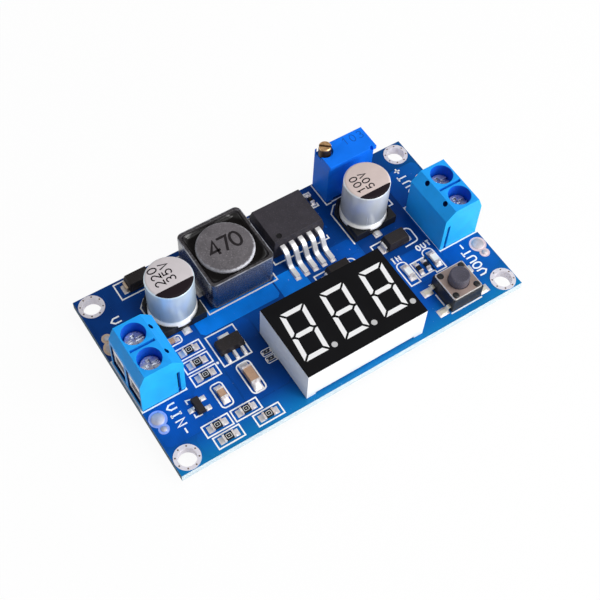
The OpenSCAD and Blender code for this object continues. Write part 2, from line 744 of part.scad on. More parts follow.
module solder_pads() {
  color([0.85, 0.84, 0.84]) {
    at_chips() chip_pads($chip_size);
    at(regulator_at) regulator_pads();
    for (p = [input_cap_at, output_cap_at])
      at(p) rotate(90) end_pads(cap_base_w / 2 - cap_tab_in, cap_span / 2, cap_tab_w * 1.6);
    at(inductor_at)
      end_pads(inductor_w / 2 - inductor_tab_in, inductor_w / 2 + inductor_pad_out, inductor_tab_w);
    for (p = [input_diode_at, rectifier_at, output_diode_at])
      at(p) end_pads(diode_foot_x, diode_size[0] / 2 + diode_lead_out + diode_pad_out, diode_lead_w * 1.2);
    at(switch_at) for (s = [-1, 1]) translate([0, s * switch_lead_pitch / 2, 0])
      end_pads(switch_w / 2 + switch_pad_in, switch_span / 2 + switch_pad_out, switch_lead_w * 2.1);
    at(logic_at) logic_pads();
    at(transistor_at) transistor_pads();
    at(display_at) controller_pads();
  }
}

module solder_joints() {
  color([0.75, 0.75, 0.76]) {
    for (side = [0, 1]) at_contact_pins(side) solder_cone(contact_pin_d);
    at_display_pins() solder_cone(display_pin_d);
    at_trimmer_pins() solder_cone(trimmer_pin_d);
  }
}

// Side outline of a terminal housing, from the wire face at x = 0
module terminal_outline() {
  polygon([
    [0, 0], [terminal_d, 0], [terminal_d, back_slope_z],
    [top_end, terminal_h], [top_start, terminal_h], [wire_lean, wire_slope_z]
  ]);
}

// Room of one pole: clamp chamber, wire window, screw well and pin hole
module pole_room() {
  translate([-eps, -chamber_w / 2, floor_t]) cube([chamber_end + eps, chamber_w, chamber_top - floor_t]);
  translate([screw_x, 0, ledge_z]) cylinder(h = terminal_h, d = well_d);
  translate([screw_x, 0, chamber_top - eps]) cylinder(h = terminal_h, d = screw_d + 2 * screw_play);
  translate([contact_leg_x, 0, -eps]) cylinder(h = floor_t + 2 * eps, d = contact_pin_d + 2 * pin_play);
}

module terminal_housing(side) {
  slope = atan2(terminal_h - back_slope_z, terminal_d - top_end);
  // Middle of a blind hole on the back slope, one radius below the slope's upper edge
  hole_at = [top_end, terminal_h] + slope_hole_d * 0.6 * [cos(slope), -sin(slope)];
  color([0.1, 0.55, 0.95]) at_terminal(side) difference() {
    bar_y(terminal_l) terminal_outline();
    for (s = [-1, 1]) translate([0, s * pole_pitch / 2, 0]) pole_room();
    // Joining grooves at both ends
    for (s = [-1, 1]) translate([terminal_d - groove_back - terminal_groove[0] / 2, s * terminal_l / 2, -eps])
      block([terminal_groove[0], 2 * terminal_groove[1], terminal_groove[2] + eps]);
    // Parting slot across the top
    translate([(top_start + top_end) / 2, 0, terminal_h - parting_deep])
      block([top_end - top_start - 2 * parting_margin, parting_w, parting_deep + eps]);
    // Blind holes in the back slope, one at each pole
    for (s = [-1, 1]) translate([hole_at[0], s * pole_pitch / 2, hole_at[1]]) rotate([0, slope, 0])
      translate([0, 0, -slope_hole_deep]) cylinder(h = slope_hole_deep + eps, d = slope_hole_d);
  }
}

module input_terminal_housing() { terminal_housing(0); }
module output_terminal_housing() { terminal_housing(1); }

// Places children on a pole's screw axis; pole -1 or 1 counts along +Y
module at_pole(side, pole) {
  turn = side == 0 ? pole : -pole;
  at_terminal(side) translate([screw_x, turn * pole_pitch / 2, 0]) children();
}

module clamp_screw(side, pole) {
  chamfer = screw_head_h / 5;
  shank_foot = contact_z + contact_t + clamp_gap;
  head_z = ledge_z + screw_lift;
  slot_z = head_z + screw_head_h - screw_slot_deep;
  color([0.72, 0.73, 0.75]) at_pole(side, pole) difference() {
    union() {
      translate([0, 0, shank_foot]) cylinder(h = head_z - shank_foot + chamfer, d = screw_d);
      translate([0, 0, head_z]) cylinder(h = screw_head_h - chamfer, d = screw_head_d);
      translate([0, 0, head_z + screw_head_h - chamfer])
        cylinder(h = chamfer, d1 = screw_head_d, d2 = screw_head_d - 1.6 * chamfer);
    }
    // Slot across the head and the short cross slot
    translate([0, 0, slot_z]) block([screw_head_d + eps, screw_slot_w, screw_slot_deep + eps]);
    translate([0, 0, slot_z]) block([screw_slot_w, screw_head_d * 0.62, screw_slot_deep + eps]);
  }
}

module input_positive_screw() { clamp_screw(0, 1); }
module input_negative_screw() { clamp_screw(0, -1); }
module output_positive_screw() { clamp_screw(1, 1); }
module output_negative_screw() { clamp_screw(1, -1); }

// Clamp cage: a bent box with a threaded top and a gate for the wire along X
module clamp_cage(side, pole) {
  cage_w = chamber_w - 2 * cage_play;
  middle = cage_inset + cage_l / 2 - screw_x;
  color([0.78, 0.76, 0.72]) at_pole(side, pole) translate([0, 0, cage_low + cage_lift]) difference() {
    translate([middle, 0, 0]) block([cage_l, cage_w, cage_h]);
    translate([middle, 0, cage_wall]) block([cage_l + eps, cage_w - 2 * cage_wall, cage_gate_h]);
    translate([0, 0, cage_h - cage_top - eps]) cylinder(h = cage_top + 2 * eps, d = screw_d + 2 * screw_play);
  }
}

module input_positive_cage() { clamp_cage(0, 1); }
module input_negative_cage() { clamp_cage(0, -1); }
module output_positive_cage() { clamp_cage(1, 1); }
module output_negative_cage() { clamp_cage(1, -1); }

// Contact strips: a tongue through each cage, bent down to a solder pin
module terminal_contacts(side) {
  tongue = cage_inset + contact_inset;
  leg_foot = floor_t + 0.02;
  path = bent([
    [tongue, contact_z + contact_t / 2], [contact_leg_x, contact_z + contact_t / 2], [contact_leg_x, leg_foot]
  ], contact_t * 0.8);
  color([0.8, 0.78, 0.74]) at_terminal(side) for (s = [-1, 1]) translate([0, s * pole_pitch / 2, 0]) {
    bar_y(contact_w) strip(path, contact_t);
    translate([contact_leg_x, 0, 0]) pin(contact_pin_d, leg_foot + 0.03);
  }
}

module input_terminal_contacts() { terminal_contacts(0); }
module output_terminal_contacts() { terminal_contacts(1); }

// Corner trim that keeps a segment clear of its neighbour
mitre = segment_gap * 0.71;

// Upright bar of a digit at the left, above the middle
function upright_segment() = let (x = -digit_w / 2, t = segment_w, top = digit_h / 2) [
  [x, segment_gap / 2], [x + t / 2, mitre], [x + t, t / 2 + mitre],
  [x + t, top - t - mitre], [x, top - mitre]
];

// Bar of a digit along its top
function top_segment() = let (x = digit_w / 2 - mitre, t = segment_w, top = digit_h / 2) [
  [-x, top], [t - x, top - t], [x - t, top - t], [x, top]
];

// Bar of a digit across its middle
function middle_segment() = let (x = digit_w / 2 - segment_w / 2 - mitre, t = segment_w / 2) [
  [-x, 0], [t - x, t], [x - t, t], [x, 0], [x - t, -t], [t - x, -t]
];

function slanted(points) = [for (p = points) [p[0] + p[1] * tan(digit_slant), p[1]]];
function mirrored(points, sx, sy) = [for (p = points) [p[0] * sx, p[1] * sy]];

// Outlines of all digits and their points
module digit_outlines() {
  for (i = [-1:1]) translate([i * digit_pitch, 0]) {
    for (sx = [-1, 1], sy = [-1, 1]) polygon(slanted(mirrored(upright_segment(), sx, sy)));
    for (sy = [-1, 1]) polygon(slanted(mirrored(top_segment(), 1, sy)));
    polygon(slanted(middle_segment()));
    translate([digit_w / 2 + 0.5, -digit_h / 2 + segment_w * 0.36]) circle(d = point_d);
  }
}

module display_case() {
  color([0.93, 0.93, 0.92]) at(display_at) difference() {
    block([display_l, display_w, display_case_h]);
    translate([0, 0, -eps])
      block([display_l - 2 * display_wall, display_w - 2 * display_wall, display_pocket + eps]);
    translate([0, 0, -eps])
      block([display_l - 2 * display_foot_l, display_w + eps, display_foot_h + eps]);
    translate([0, 0, display_h - segment_depth]) linear_extrude(height = segment_depth) digit_outlines();
  }
}

module display_face() {
  color([0.03, 0.03, 0.03]) at(display_at, display_case_h) difference() {
    block([display_l, display_w, display_face_t]);
    translate([0, 0, -eps]) linear_extrude(height = display_face_t + 2 * eps) digit_outlines();
  }
}

module display_segments() {
  color([0.88, 0.87, 0.86]) at(display_at, display_h - segment_depth)
    linear_extrude(height = segment_depth) digit_outlines();
}

module display_carrier() {
  margin = 2 * (display_wall + carrier_play);
  color([0.8, 0.78, 0.62]) at(display_at, carrier_z)
    block([display_l - margin, display_w - margin, carrier_t]);
}

module display_pins() {
  color([0.8, 0.8, 0.8]) at_display_pins() pin(display_pin_d, carrier_z);
}

// Meter controller in the room under the display's carrier board
controller_lead_w = 0.24;
controller_pitch = 0.65;
controller_reach = 1.0;
controller_lift = 0.1;

module at_controller_leads() {
  for (s = [0, 1], i = [-4.5:4.5]) rotate(180 * s)
    translate([i * controller_pitch, controller_size[1] / 2, 0]) children();
}

module controller_pads() {
  at_controller_leads() translate([0, controller_reach - 0.3, 0]) block([controller_lead_w, 1.0, plating_t]);
}

module meter_controller() {
  color([0.08, 0.08, 0.09]) at(display_at, controller_lift)
    moulded_body(controller_size, 0.1, controller_size[2] / 2);
}

module meter_controller_leads() {
  t = 0.14;
  exit_z = controller_lift + controller_size[2] / 2;
  foot_z = plating_t + t / 2;
  path = bent([[0, exit_z], [0.3, exit_z], [0.45, foot_z], [controller_reach, foot_z]], 0.1);
  color([0.78, 0.78, 0.78]) at(display_at) at_controller_leads() bar_x(controller_lead_w) strip(path, t);
}

// Inductor: square shield with a sunk top, drum core, winding and solder tabs
inductor_foot = plating_t + inductor_tab_t;

module inductor_shield() {
  color([0.2, 0.2, 0.21]) at(inductor_at) difference() {
    translate([0, 0, inductor_foot]) rounded_block(inductor_w, shield_r, inductor_h - inductor_foot);
    cylinder(h = inductor_h + eps, d = core_d + 2 * core_gap);
    translate([0, 0, inductor_h - shield_sink])
      rounded_block(inductor_w - 2 * shield_rim, shield_r - shield_rim / 2, shield_sink + eps);
  }
}

module inductor_core() {
  edge = [core_d / 2 - core_edge_r, inductor_h - core_edge_r];
  n = 6;
  color([0.36, 0.35, 0.36]) at(inductor_at) rotate_extrude() polygon([
    [0, inductor_foot], [core_d / 2, inductor_foot], [core_d / 2, inductor_foot + core_flange],
    [core_post_d / 2, inductor_foot + core_flange], [core_post_d / 2, inductor_h - core_flange],
    [core_d / 2, inductor_h - core_flange],
    for (k = [0:n]) let (a = 90 * k / n) edge + core_edge_r * [cos(a), sin(a)],
    [0, inductor_h]
  ]);
}

module inductor_winding() {
  low = inductor_foot + core_flange + winding_gap;
  high = inductor_h - core_flange - winding_gap;
  color([0.72, 0.38, 0.16]) at(inductor_at) difference() {
    translate([0, 0, low]) cylinder(h = high - low, d = core_d - 2 * winding_margin);
    translate([0, 0, low - eps]) cylinder(h = high - low + 2 * eps, d = core_post_d + 2 * winding_gap);
  }
}

module inductor_terminals() {
  inner = inductor_w / 2 - inductor_tab_in;
  outer = inductor_w / 2 + inductor_tab_t / 2 + 0.02;
  mid_z = plating_t + inductor_tab_t / 2;
  path = bent([[inner, mid_z], [outer, mid_z], [outer, inductor_lip_h]], inductor_tab_t * 0.8);
  color([0.8, 0.8, 0.8]) at(inductor_at) for (s = [0, 1]) rotate(180 * s)
    bar_y(inductor_tab_w - 0.6) strip(path, inductor_tab_t);
}

// Switching regulator
tab_under = 3;

module tab_shape() {
  back = regulator_w / 2 + regulator_tab_out;
  chamfer = 0.9;
  half = regulator_l / 2 - 0.3;
  front = regulator_w / 2 - tab_under;
  translate([0, 0, plating_t]) linear_extrude(height = regulator_tab_t) polygon([
    [-half, front], [half, front], [half, back - chamfer],
    [half - chamfer, back], [chamfer - half, back], [-half, back - chamfer]
  ]);
}

module regulator_body() {
  size = [regulator_l, regulator_w, regulator_h - plating_t];
  mark_at = first_lead_mark_inset - [regulator_l, regulator_w] / 2;
  color([0.13, 0.13, 0.14]) at(regulator_at) difference() {
    translate([0, 0, plating_t]) moulded_body(size, regulator_draft, regulator_part - plating_t);
    tab_shape();
    translate([mark_at[0], mark_at[1], regulator_h - first_lead_mark_deep])
      cylinder(h = first_lead_mark_deep + eps, d = first_lead_mark_d);
  }
}

module regulator_tab() {
  color([0.7, 0.7, 0.7]) at(regulator_at) tab_shape();
}

module regulator_pads() {
  pad_l = 2.4;
  toe = regulator_w / 2 + regulator_toe;
  tab_pad = [regulator_l - 0.2, 5.2, plating_t];
  for (i = [-2:2]) translate([i * regulator_pitch, pad_l / 2 - toe, 0])
    block([regulator_lead_w * 1.15, pad_l, plating_t]);
  translate([0, regulator_w / 2 + regulator_tab_out + tab_pad_out - tab_pad[1] / 2, 0]) block(tab_pad);
}

module regulator_leads() {
  root = regulator_w / 2 + 0.02;
  toe = regulator_w / 2 + regulator_lead_l;
  foot_z = plating_t + regulator_lead_t / 2;
  path = bent([
    [root, regulator_part], [root + 1.4, regulator_part], [root + 2.75, foot_z], [toe, foot_z]
  ], 0.85);
  color([0.88, 0.88, 0.88]) at(regulator_at) for (i = [-2:2]) translate([i * regulator_pitch, 0, 0])
    rotate(180) bar_x(regulator_lead_w) strip(path, regulator_lead_t);
}

// Electrolytic capacitors
module can_shape() {
  r = can_d / 2;
  foot = cap_base_t + 0.02;
  bead_x = r + bead_out - bead_r;
  crimp = foot + 2 * bead_r + 0.35;
  n = 6;
  rotate_extrude() polygon([
    [0, foot],
    for (k = [0:n]) let (a = 180 * k / n - 90) [bead_x, foot + bead_r] + bead_r * [cos(a), sin(a)],
    [r - crimp_depth, crimp - 0.15], [r - crimp_depth, crimp + 0.15], [r, crimp + 0.6],
    for (k = [0:n]) let (a = 90 * k / n) [r - can_r, can_h - can_r] + can_r * [cos(a), sin(a)],
    [0, can_h]
  ]);
}

// Base: a square plate with corner posts round the can; the two back corners are chamfered
module cap_base_shape() {
  half = cap_base_w / 2;
  channel = cap_tab_w + 0.1;
  difference() {
    translate([0, 0, plating_t]) linear_extrude(height = cap_post_h - plating_t) polygon([
      [-half, -half], [half, -half], [half, half - cap_chamfer], [half - cap_chamfer, half],
      [cap_chamfer - half, half], [-half, half - cap_chamfer]
    ]);
    translate([0, 0, cap_base_t]) cylinder(h = cap_post_h, r = can_d / 2 + bead_out + can_gap);
    for (s = [-1, 1]) translate([0, s * (half - cap_tab_in / 2), 0])
      block([channel, cap_tab_in + 0.1, plating_t + cap_tab_t + 0.02]);
  }
}

module cap_tabs() {
  half = cap_base_w / 2;
  for (s = [-1, 1]) translate([0, s * (half + (cap_tab_out - cap_tab_in) / 2), plating_t])
    block([cap_tab_w, cap_tab_in + cap_tab_out, cap_tab_t]);
}

module input_capacitor_can() { color([0.75, 0.76, 0.78]) at(input_cap_at) can_shape(); }
module input_capacitor_base() { color([0.06, 0.06, 0.06]) at(input_cap_at) cap_base_shape(); }
module input_capacitor_leads() { color([0.85, 0.85, 0.85]) at(input_cap_at) cap_tabs(); }
module output_capacitor_can() { color([0.75, 0.76, 0.78]) at(output_cap_at) can_shape(); }
module output_capacitor_base() { color([0.06, 0.06, 0.06]) at(output_cap_at) cap_base_shape(); }
module output_capacitor_leads() { color([0.85, 0.85, 0.85]) at(output_cap_at) cap_tabs(); }

// Trimmer: the screw stands in the back left corner of its top
adjuster_at = [-trimmer_l / 2 + adjuster_inset, trimmer_w / 2 - adjuster_inset];
adjuster_seat = trimmer_h - adjuster_pocket;

module trimmer_housing() {
  body_l = trimmer_l - trimmer_recess;
  body_w = trimmer_w - trimmer_recess;
  lid_z = trimmer_h - trimmer_lip;
  color([0.1, 0.35, 0.9]) at(trimmer_at) difference() {
    union() {
      translate([-trimmer_recess / 2, trimmer_recess / 2, 0]) block([body_l, body_w, trimmer_h]);
      translate([0, 0, lid_z]) block([trimmer_l, trimmer_w, trimmer_lip]);
    }
    // Notch in the lid's front right corner
    translate([trimmer_l / 2 - 2 * trimmer_notch, -trimmer_w / 2, lid_z - eps])
      block([trimmer_notch, 2 * trimmer_notch, trimmer_lip + 2 * eps]);
    // Gap between the feet
    translate([0, 0, -eps]) block([trimmer_l - 2 * trimmer_foot_l, trimmer_w + eps, trimmer_foot + eps]);
    translate([adjuster_at[0], adjuster_at[1], adjuster_seat])
      cylinder(h = trimmer_h, r = adjuster_d / 2 + adjuster_gap);
    translate([adjuster_at[0], adjuster_at[1], adjuster_seat - journal_l - journal_play])
      cylinder(h = journal_l + eps, d = journal_d + 2 * journal_play);
  }
}

module trimmer_screw() {
  lift = 0.06;
  head_h = trimmer_h + adjuster_out - adjuster_seat - lift;
  slot_deep = 0.7;
  slot_w = 0.45;
  slot_turn = -39;
  place = trimmer_at + adjuster_at;
  color([0.78, 0.6, 0.32]) at(place, adjuster_seat + lift) difference() {
    union() {
      cylinder(h = head_h - 0.15, d = adjuster_d);
      translate([0, 0, head_h - 0.15]) cylinder(h = 0.15, d1 = adjuster_d, d2 = adjuster_d - 0.24);
      translate([0, 0, -journal_l]) cylinder(h = journal_l + 0.2, d = journal_d);
    }
    rotate(slot_turn) translate([0, 0, head_h - slot_deep])
      block([adjuster_d + eps, slot_w, slot_deep + eps]);
  }
}

module trimmer_pins() {
  color([0.8, 0.8, 0.8]) at_trimmer_pins() pin(trimmer_pin_d, trimmer_foot);
}

// Push switch
module switch_base() {
  bore = button_flange_d / 2 + button_gap;
  lift = plating_t;
  color([0.07, 0.07, 0.07]) at(switch_at) {
    difference() {
      translate([0, 0, lift]) block([switch_w, switch_w, cover_z - lift]);
      translate([0, 0, dome_floor]) cylinder(h = switch_h, r = bore);
    }
    // Staked pegs through the cover plate
    for (x = [-1, 1], y = [-1, 1]) translate([x * peg_offset, y * peg_offset, cover_z - 0.1]) {
      cylinder(h = cover_t + 0.1, d = peg_d * 0.7);
      translate([0, 0, cover_t + 0.1]) cylinder(h = 0.16, d1 = peg_d, d2 = peg_d * 0.6);
    }
  }
}

module switch_cover() {
  side = switch_w - 2 * cover_margin;
  color([0.72, 0.7, 0.67]) at(switch_at, cover_z) difference() {
    rounded_block(side, 0.35, cover_t);
    translate([0, 0, -eps]) cylinder(h = cover_t + 2 * eps, r = button_d / 2 + button_gap);
    for (x = [-1, 1], y = [-1, 1]) translate([x * peg_offset, y * peg_offset, -eps])
      cylinder(h = cover_t + 2 * eps, d = peg_d * 0.7 + 0.04);
  }
}

// Snap dome: a shallow cap of even thickness
module switch_dome() {
  r = button_flange_d / 2 - 0.1;
  n = 6;
  function cap(h) = [for (k = [0:n]) let (a = 90 * k / n) [r * sin(a), h * cos(a)]];
  color([0.8, 0.8, 0.78]) at(switch_at, dome_floor) rotate_extrude() polygon(concat(
    cap(dome_h), [[r - dome_t, 0]], reversed([for (p = cap(dome_h - dome_t)) [p[0] * (r - dome_t) / r, p[1]]])
  ));
}

module switch_button() {
  top = switch_h + button_out;
  edge = 0.2;
  color([0.16, 0.15, 0.17]) at(switch_at) rotate_extrude() polygon([
    [0, button_foot], [button_flange_d / 2, button_foot],
    [button_flange_d / 2, button_flange_top], [button_d / 2, button_flange_top],
    [button_d / 2, top - edge], [button_d / 2 - edge, top], [0, top]
  ]);
}

module switch_leads() {
  exit_z = 1.1;
  root = switch_w / 2 + 0.01;
  foot_z = plating_t + switch_lead_t / 2;
  path = bent([
    [root, exit_z], [root + 0.45, exit_z], [root + 0.65, foot_z], [switch_span / 2, foot_z]
  ], 0.18);
  color([0.86, 0.84, 0.78]) at(switch_at) for (s = [0, 1], y = [-1, 1]) rotate(180 * s)
    translate([0, y * switch_lead_pitch / 2, 0]) bar_y(switch_lead_w) strip(path, switch_lead_t);
}

// Diodes: a moulded body on leads that fold under its ends
diode_lift = plating_t + diode_lead_t + 0.03;
diode_exit = diode_size[2] * 0.5;
diode_foot_x = diode_size[0] / 2 - diode_lead_in;

module diode_body(p) {
  color([0.1, 0.09, 0.09]) at(p, diode_lift)
    moulded_body([diode_size[0], diode_size[1], diode_size[2] - diode_lift], 0.25, diode_exit - diode_lift);
}

module diode_leads(p) {
  root = diode_size[0] / 2 + 0.01;
  out = diode_size[0] / 2 + diode_lead_out - diode_lead_t / 2;
  foot_z = plating_t + diode_lead_t / 2;
  path = bent([[root, diode_exit], [out, diode_exit], [out, foot_z], [diode_foot_x, foot_z]], 0.19);
  color([0.84, 0.83, 0.81]) at(p) for (s = [0, 1])
    rotate(180 * s) bar_y(diode_lead_w) strip(path, diode_lead_t);
}

module input_diode_body() { diode_body(input_diode_at); }
module input_diode_leads() { diode_leads(input_diode_at); }
module rectifier_body() { diode_body(rectifier_at); }
module rectifier_leads() { diode_leads(rectifier_at); }
module output_diode_body() { diode_body(output_diode_at); }
module output_diode_leads() { diode_leads(output_diode_at); }

// Logic supply regulator: flat package with three leads in front and a tab behind
logic_pitch = 1.5;
logic_lead = [0.48, 1.3, 0.4];
logic_tab = [1.7, 0.85, 0.4];

module logic_pads() {
  for (i = [-1:1]) translate([i * logic_pitch, -logic_size[1] / 2 - 0.85, 0]) block([0.7, 1.5, plating_t]);
  translate([0, logic_size[1] / 2 + 0.4, 0]) block([2.0, 1.4, plating_t]);
}

module logic_regulator_body() {
  color([0.12, 0.12, 0.12]) at(logic_at, plating_t + 0.02)
    moulded_body([logic_size[0], logic_size[1], logic_size[2] - plating_t], 0.15, 0.4);
}

module logic_regulator_leads() {
  color([0.86, 0.86, 0.86]) at(logic_at, plating_t) {
    for (i = [-1:1]) translate([i * logic_pitch, -(logic_size[1] + logic_lead[1]) / 2, 0]) block(logic_lead);
    translate([0, logic_size[1] / 2 + logic_tab[1] / 2, 0]) block(logic_tab);
  }
}

// Three-lead transistor: two leads towards +X, one towards -X
transistor_exit = transistor_size[2] * 0.55;

module at_transistor_leads() {
  for (y = [-0.95, 0.95]) translate([0, y, 0]) children();
  rotate(180) children();
}

module transistor_pads() {
  at_transistor_leads() translate([transistor_size[0] / 2 + 0.6, 0, 0]) block([1.0, 0.9, plating_t]);
}

module transistor_body() {
  color([0.1, 0.1, 0.1]) at(transistor_at, plating_t + 0.04)
    moulded_body(transistor_size, 0.1, transistor_exit - plating_t - 0.04);
}

module transistor_leads() {
  t = 0.13;
  root = transistor_size[0] / 2 + 0.01;
  foot_z = plating_t + t / 2;
  path = bent([
    [root, transistor_exit], [root + 0.2, transistor_exit], [root + 0.3, foot_z], [root + 0.65, foot_z]
  ], 0.08);
  color([0.86, 0.86, 0.86]) at(transistor_at) at_transistor_leads() bar_y(0.42) strip(path, t);
}

// Places each chip part and hands its size to the children
module at_chip(p, turn, size) {
  $chip_size = size;
  at(p) rotate(turn) children();
}

module at_resistors() {
  for (p = concat(resistor_row, resistor_front)) at_chip(p, 0, resistor_size) children();
  for (p = concat(indicator_resistors, [feedback_resistor])) at_chip(p, 90, small_resistor_size) children();
  for (p = tiny_parts) at_chip(p, 0, tiny_size) children();
}

module at_ceramics() {
  at_chip(big_ceramic_at, 90, big_ceramic_size) children();
  at_chip(ceramic_at, 90, ceramic_size) children();
  at_chip(small_ceramic_at, 0, small_ceramic_size) children();
}

module at_indicators() {
  for (p = indicator_points) at_chip(p, 90, indicator_size) children();
}

module at_chips() {
  at_resistors() children();
  at_ceramics() children();
  at_indicators() children();
}

// Body of a chip part between its metal ends
module chip_body() {
  lift = plating_t + chip_end_t;
  translate([0, 0, lift])
    block([$chip_size[0] - 2 * chip_end_t, $chip_size[1] - 2 * chip_end_t, $chip_size[2] - 2 * chip_end_t]);
}

// Metal ends that wrap a chip part on five sides
module chip_ends() {
  difference() {
    for (s = [-1, 1]) translate([s * ($chip_size[0] - chip_end_l) / 2, 0, plating_t])
      block([chip_end_l, $chip_size[1], $chip_size[2]]);
    chip_body();
  }
}

module resistor_bodies() {
  color([0.14, 0.13, 0.13]) at_resistors() chip_body();
}

module ceramic_capacitor_bodies() {
  color([0.62, 0.5, 0.36]) at_ceramics() chip_body();
}

module chip_terminals() {
  color([0.84, 0.83, 0.83]) at_chips() chip_ends();
}

module indicator_lights() {
  color([0.9, 0.92, 0.88]) at_indicators() chip_body();
}

circuit_board();
mounting_hole_plating();
wire_pads();
solder_pads();
solder_joints();
input_terminal_housing();
output_terminal_housing();
input_positive_screw();
input_negative_screw();
output_positive_screw();
output_negative_screw();
input_positive_cage();
input_negative_cage();
output_positive_cage();
output_negative_cage();
input_terminal_contacts();
output_terminal_contacts();
display_case();
display_face();
display_segments();
display_carrier();
display_pins();
meter_controller();
meter_controller_leads();
inductor_shield();
inductor_core();
inductor_winding();
inductor_terminals();
regulator_body();
regulator_tab();
regulator_leads();
input_capacitor_can();
input_capacitor_base();
input_capacitor_leads();
output_capacitor_can();
output_capacitor_base();
output_capacitor_leads();
trimmer_housing();
trimmer_screw();
trimmer_pins();
switch_base();
switch_cover();
switch_dome();
switch_button();
switch_leads();
input_diode_body();
input_diode_leads();
rectifier_body();
rectifier_leads();
output_diode_body();
output_diode_leads();
logic_regulator_body();
logic_regulator_leads();
transistor_body();
transistor_leads();
resistor_bodies();
ceramic_capacitor_bodies();
chip_terminals();
indicator_lights();
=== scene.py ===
"""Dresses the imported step-up converter board in its finishes and fine shapes.

Lengths inside the shape functions are millimetres, counted from the front left corner of the board's
top face: x to the right, y to the back, z up. Each piece is put into the part's frame when it is made.
"""

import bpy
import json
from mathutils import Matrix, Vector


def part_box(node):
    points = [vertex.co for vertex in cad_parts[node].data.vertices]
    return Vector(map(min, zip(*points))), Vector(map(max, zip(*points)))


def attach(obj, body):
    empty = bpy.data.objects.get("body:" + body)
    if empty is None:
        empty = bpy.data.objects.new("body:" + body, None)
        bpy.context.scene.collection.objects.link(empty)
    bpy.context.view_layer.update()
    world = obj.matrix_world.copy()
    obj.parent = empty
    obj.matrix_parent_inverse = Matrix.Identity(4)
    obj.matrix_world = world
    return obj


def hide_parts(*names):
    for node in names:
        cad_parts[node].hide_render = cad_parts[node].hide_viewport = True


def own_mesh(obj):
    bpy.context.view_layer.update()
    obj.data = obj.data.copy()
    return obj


bl_info = {
    "name": "Step-up converter board",
    "version": (1, 0, 0),
    "blender": (4, 5, 0),
    "location": "3D View > Sidebar > Converter",
    "description": "Finishes, prints, solder and stage for the packed converter board",
    "category": "Object",
}

import json
import math

import bmesh
import bpy
import numpy as np
from bpy.props import FloatProperty, FloatVectorProperty, PointerProperty
from mathutils import Vector

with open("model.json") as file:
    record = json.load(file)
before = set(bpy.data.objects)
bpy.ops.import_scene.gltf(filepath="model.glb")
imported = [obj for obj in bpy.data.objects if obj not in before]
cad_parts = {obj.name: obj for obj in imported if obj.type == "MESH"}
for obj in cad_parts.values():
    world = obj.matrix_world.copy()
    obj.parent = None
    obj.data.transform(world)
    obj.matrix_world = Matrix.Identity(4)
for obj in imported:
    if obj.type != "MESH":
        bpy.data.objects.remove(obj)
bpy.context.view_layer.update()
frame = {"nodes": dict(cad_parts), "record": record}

MM = 0.001
NODES = frame["nodes"]
BEHAVIOUR = frame["record"]["behaviour"]
BODY_OF = {node: body for body, nodes in BEHAVIOUR["bodies"].items() for node in nodes}
BOARD_LO, BOARD_HI = (np.array(corner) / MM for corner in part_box("circuit_board"))
CORNER = np.array([BOARD_LO[0], BOARD_LO[1], BOARD_HI[2]])
BOARD_L, BOARD_W, BOARD_T = BOARD_HI - BOARD_LO
POLES = ("input_positive", "input_negative", "output_positive", "output_negative")

# Places, sizes and levels in board millimetres, angles in degrees
SMOOTH_ANGLE = 32
# The chips in the small-chip box get ends painted dark as shade beside the display.
SMALL_CHIPS, TINY_END, MARKED_CHIP = (21.0, 9.0, 23.6, 12.6), 0.62, 0.9
CHAMBER_HALF, CHAMBER_Z = (3.36, 2.13), (0.48, 6.52)
BLIND_HOLE_OUT, BLIND_HOLE_Z, BLIND_HOLE_BALL = 2.62, 9.28, 0.61
BORE_ROOM, END_WALL = 0.22, 0.06
POINT_HALF = 0.9
FIELD_CUTS, FIELD_Z = (0.6, 0.6, 0.6, 0.6), (-0.01, 0.022)
TRACK_WIDTH, TRACK_Z = 0.5, (-0.01, 0.02)
OUTLINE_Z, WORD_Z, WORD_SHARE = (-0.01, 0.045), (-0.01, 0.047), 1.15
VIA_OUT, VIA_RADIUS, VIA_Z = 1.87, 0.15, (0.03, 0.072)
PAD_LEVEL, MOUND_HEIGHT = 0.06, 0.09
WETTED, SIDE_DROP, END_COVER, PAD_COVER, PAD_SIDE_COVER = 0.72, 0.75, 0.98, 0.97, 0.96
SINK = 0.02
POWDER, WEAVE, CUT_SKIN = 0.28, 1.1, 0.02
# Zones of painted shade towards the back and beside the display, and of painted sheen at the front and
# output end
BACK_ZONE = (20.0, 24.0)
DISPLAY_SHADOW_ZONE = (13.0, 19.5), 23.2, (2.5, 8.5), (18.5, 14.5)
PALE_FRONT, PALE_END = 5.0, 9.0
GLUE_FLOOR, GLUE_LOW, GLUE_RIM, GLUE_WALL, GLUE_CLEAR = 0.8, 0.74, 0.03, 0.59, 1.15
PIN_MARK, PIN_MARK_RADIUS = (1.65, 1.2), 0.52
SLOT_DEPTH = 0.22

# Colours that no setting holds
DUST = (0.7, 0.85, 1.0)
FLUX_BROWN, DARK_END = (0.62, 0.5, 0.46), (0.03, 0.035, 0.05)
VIA_BROWN = (0.16, 0.11, 0.08)
FIBRE, FIBRE_FLECK = (0.5, 0.48, 0.3), (0.6, 0.58, 0.42)
CHIP_RESIN, CHIP_FLECK = (0.03, 0.03, 0.032), (0.05, 0.05, 0.05)
COPPER, STEEL = (0.6, 0.24, 0.1), (0.7, 0.7, 0.7)
TARNISHED, YELLOWED = (0.85, 0.66, 0.48), (0.95, 0.9, 0.76)
CORE_INK, MARK_INK = (0.023, 0.02, 0.022), (0.62, 0.62, 0.62)
CAN_BASE, SWITCH_BASE = (0.012, 0.012, 0.013), (0.01, 0.01, 0.011)

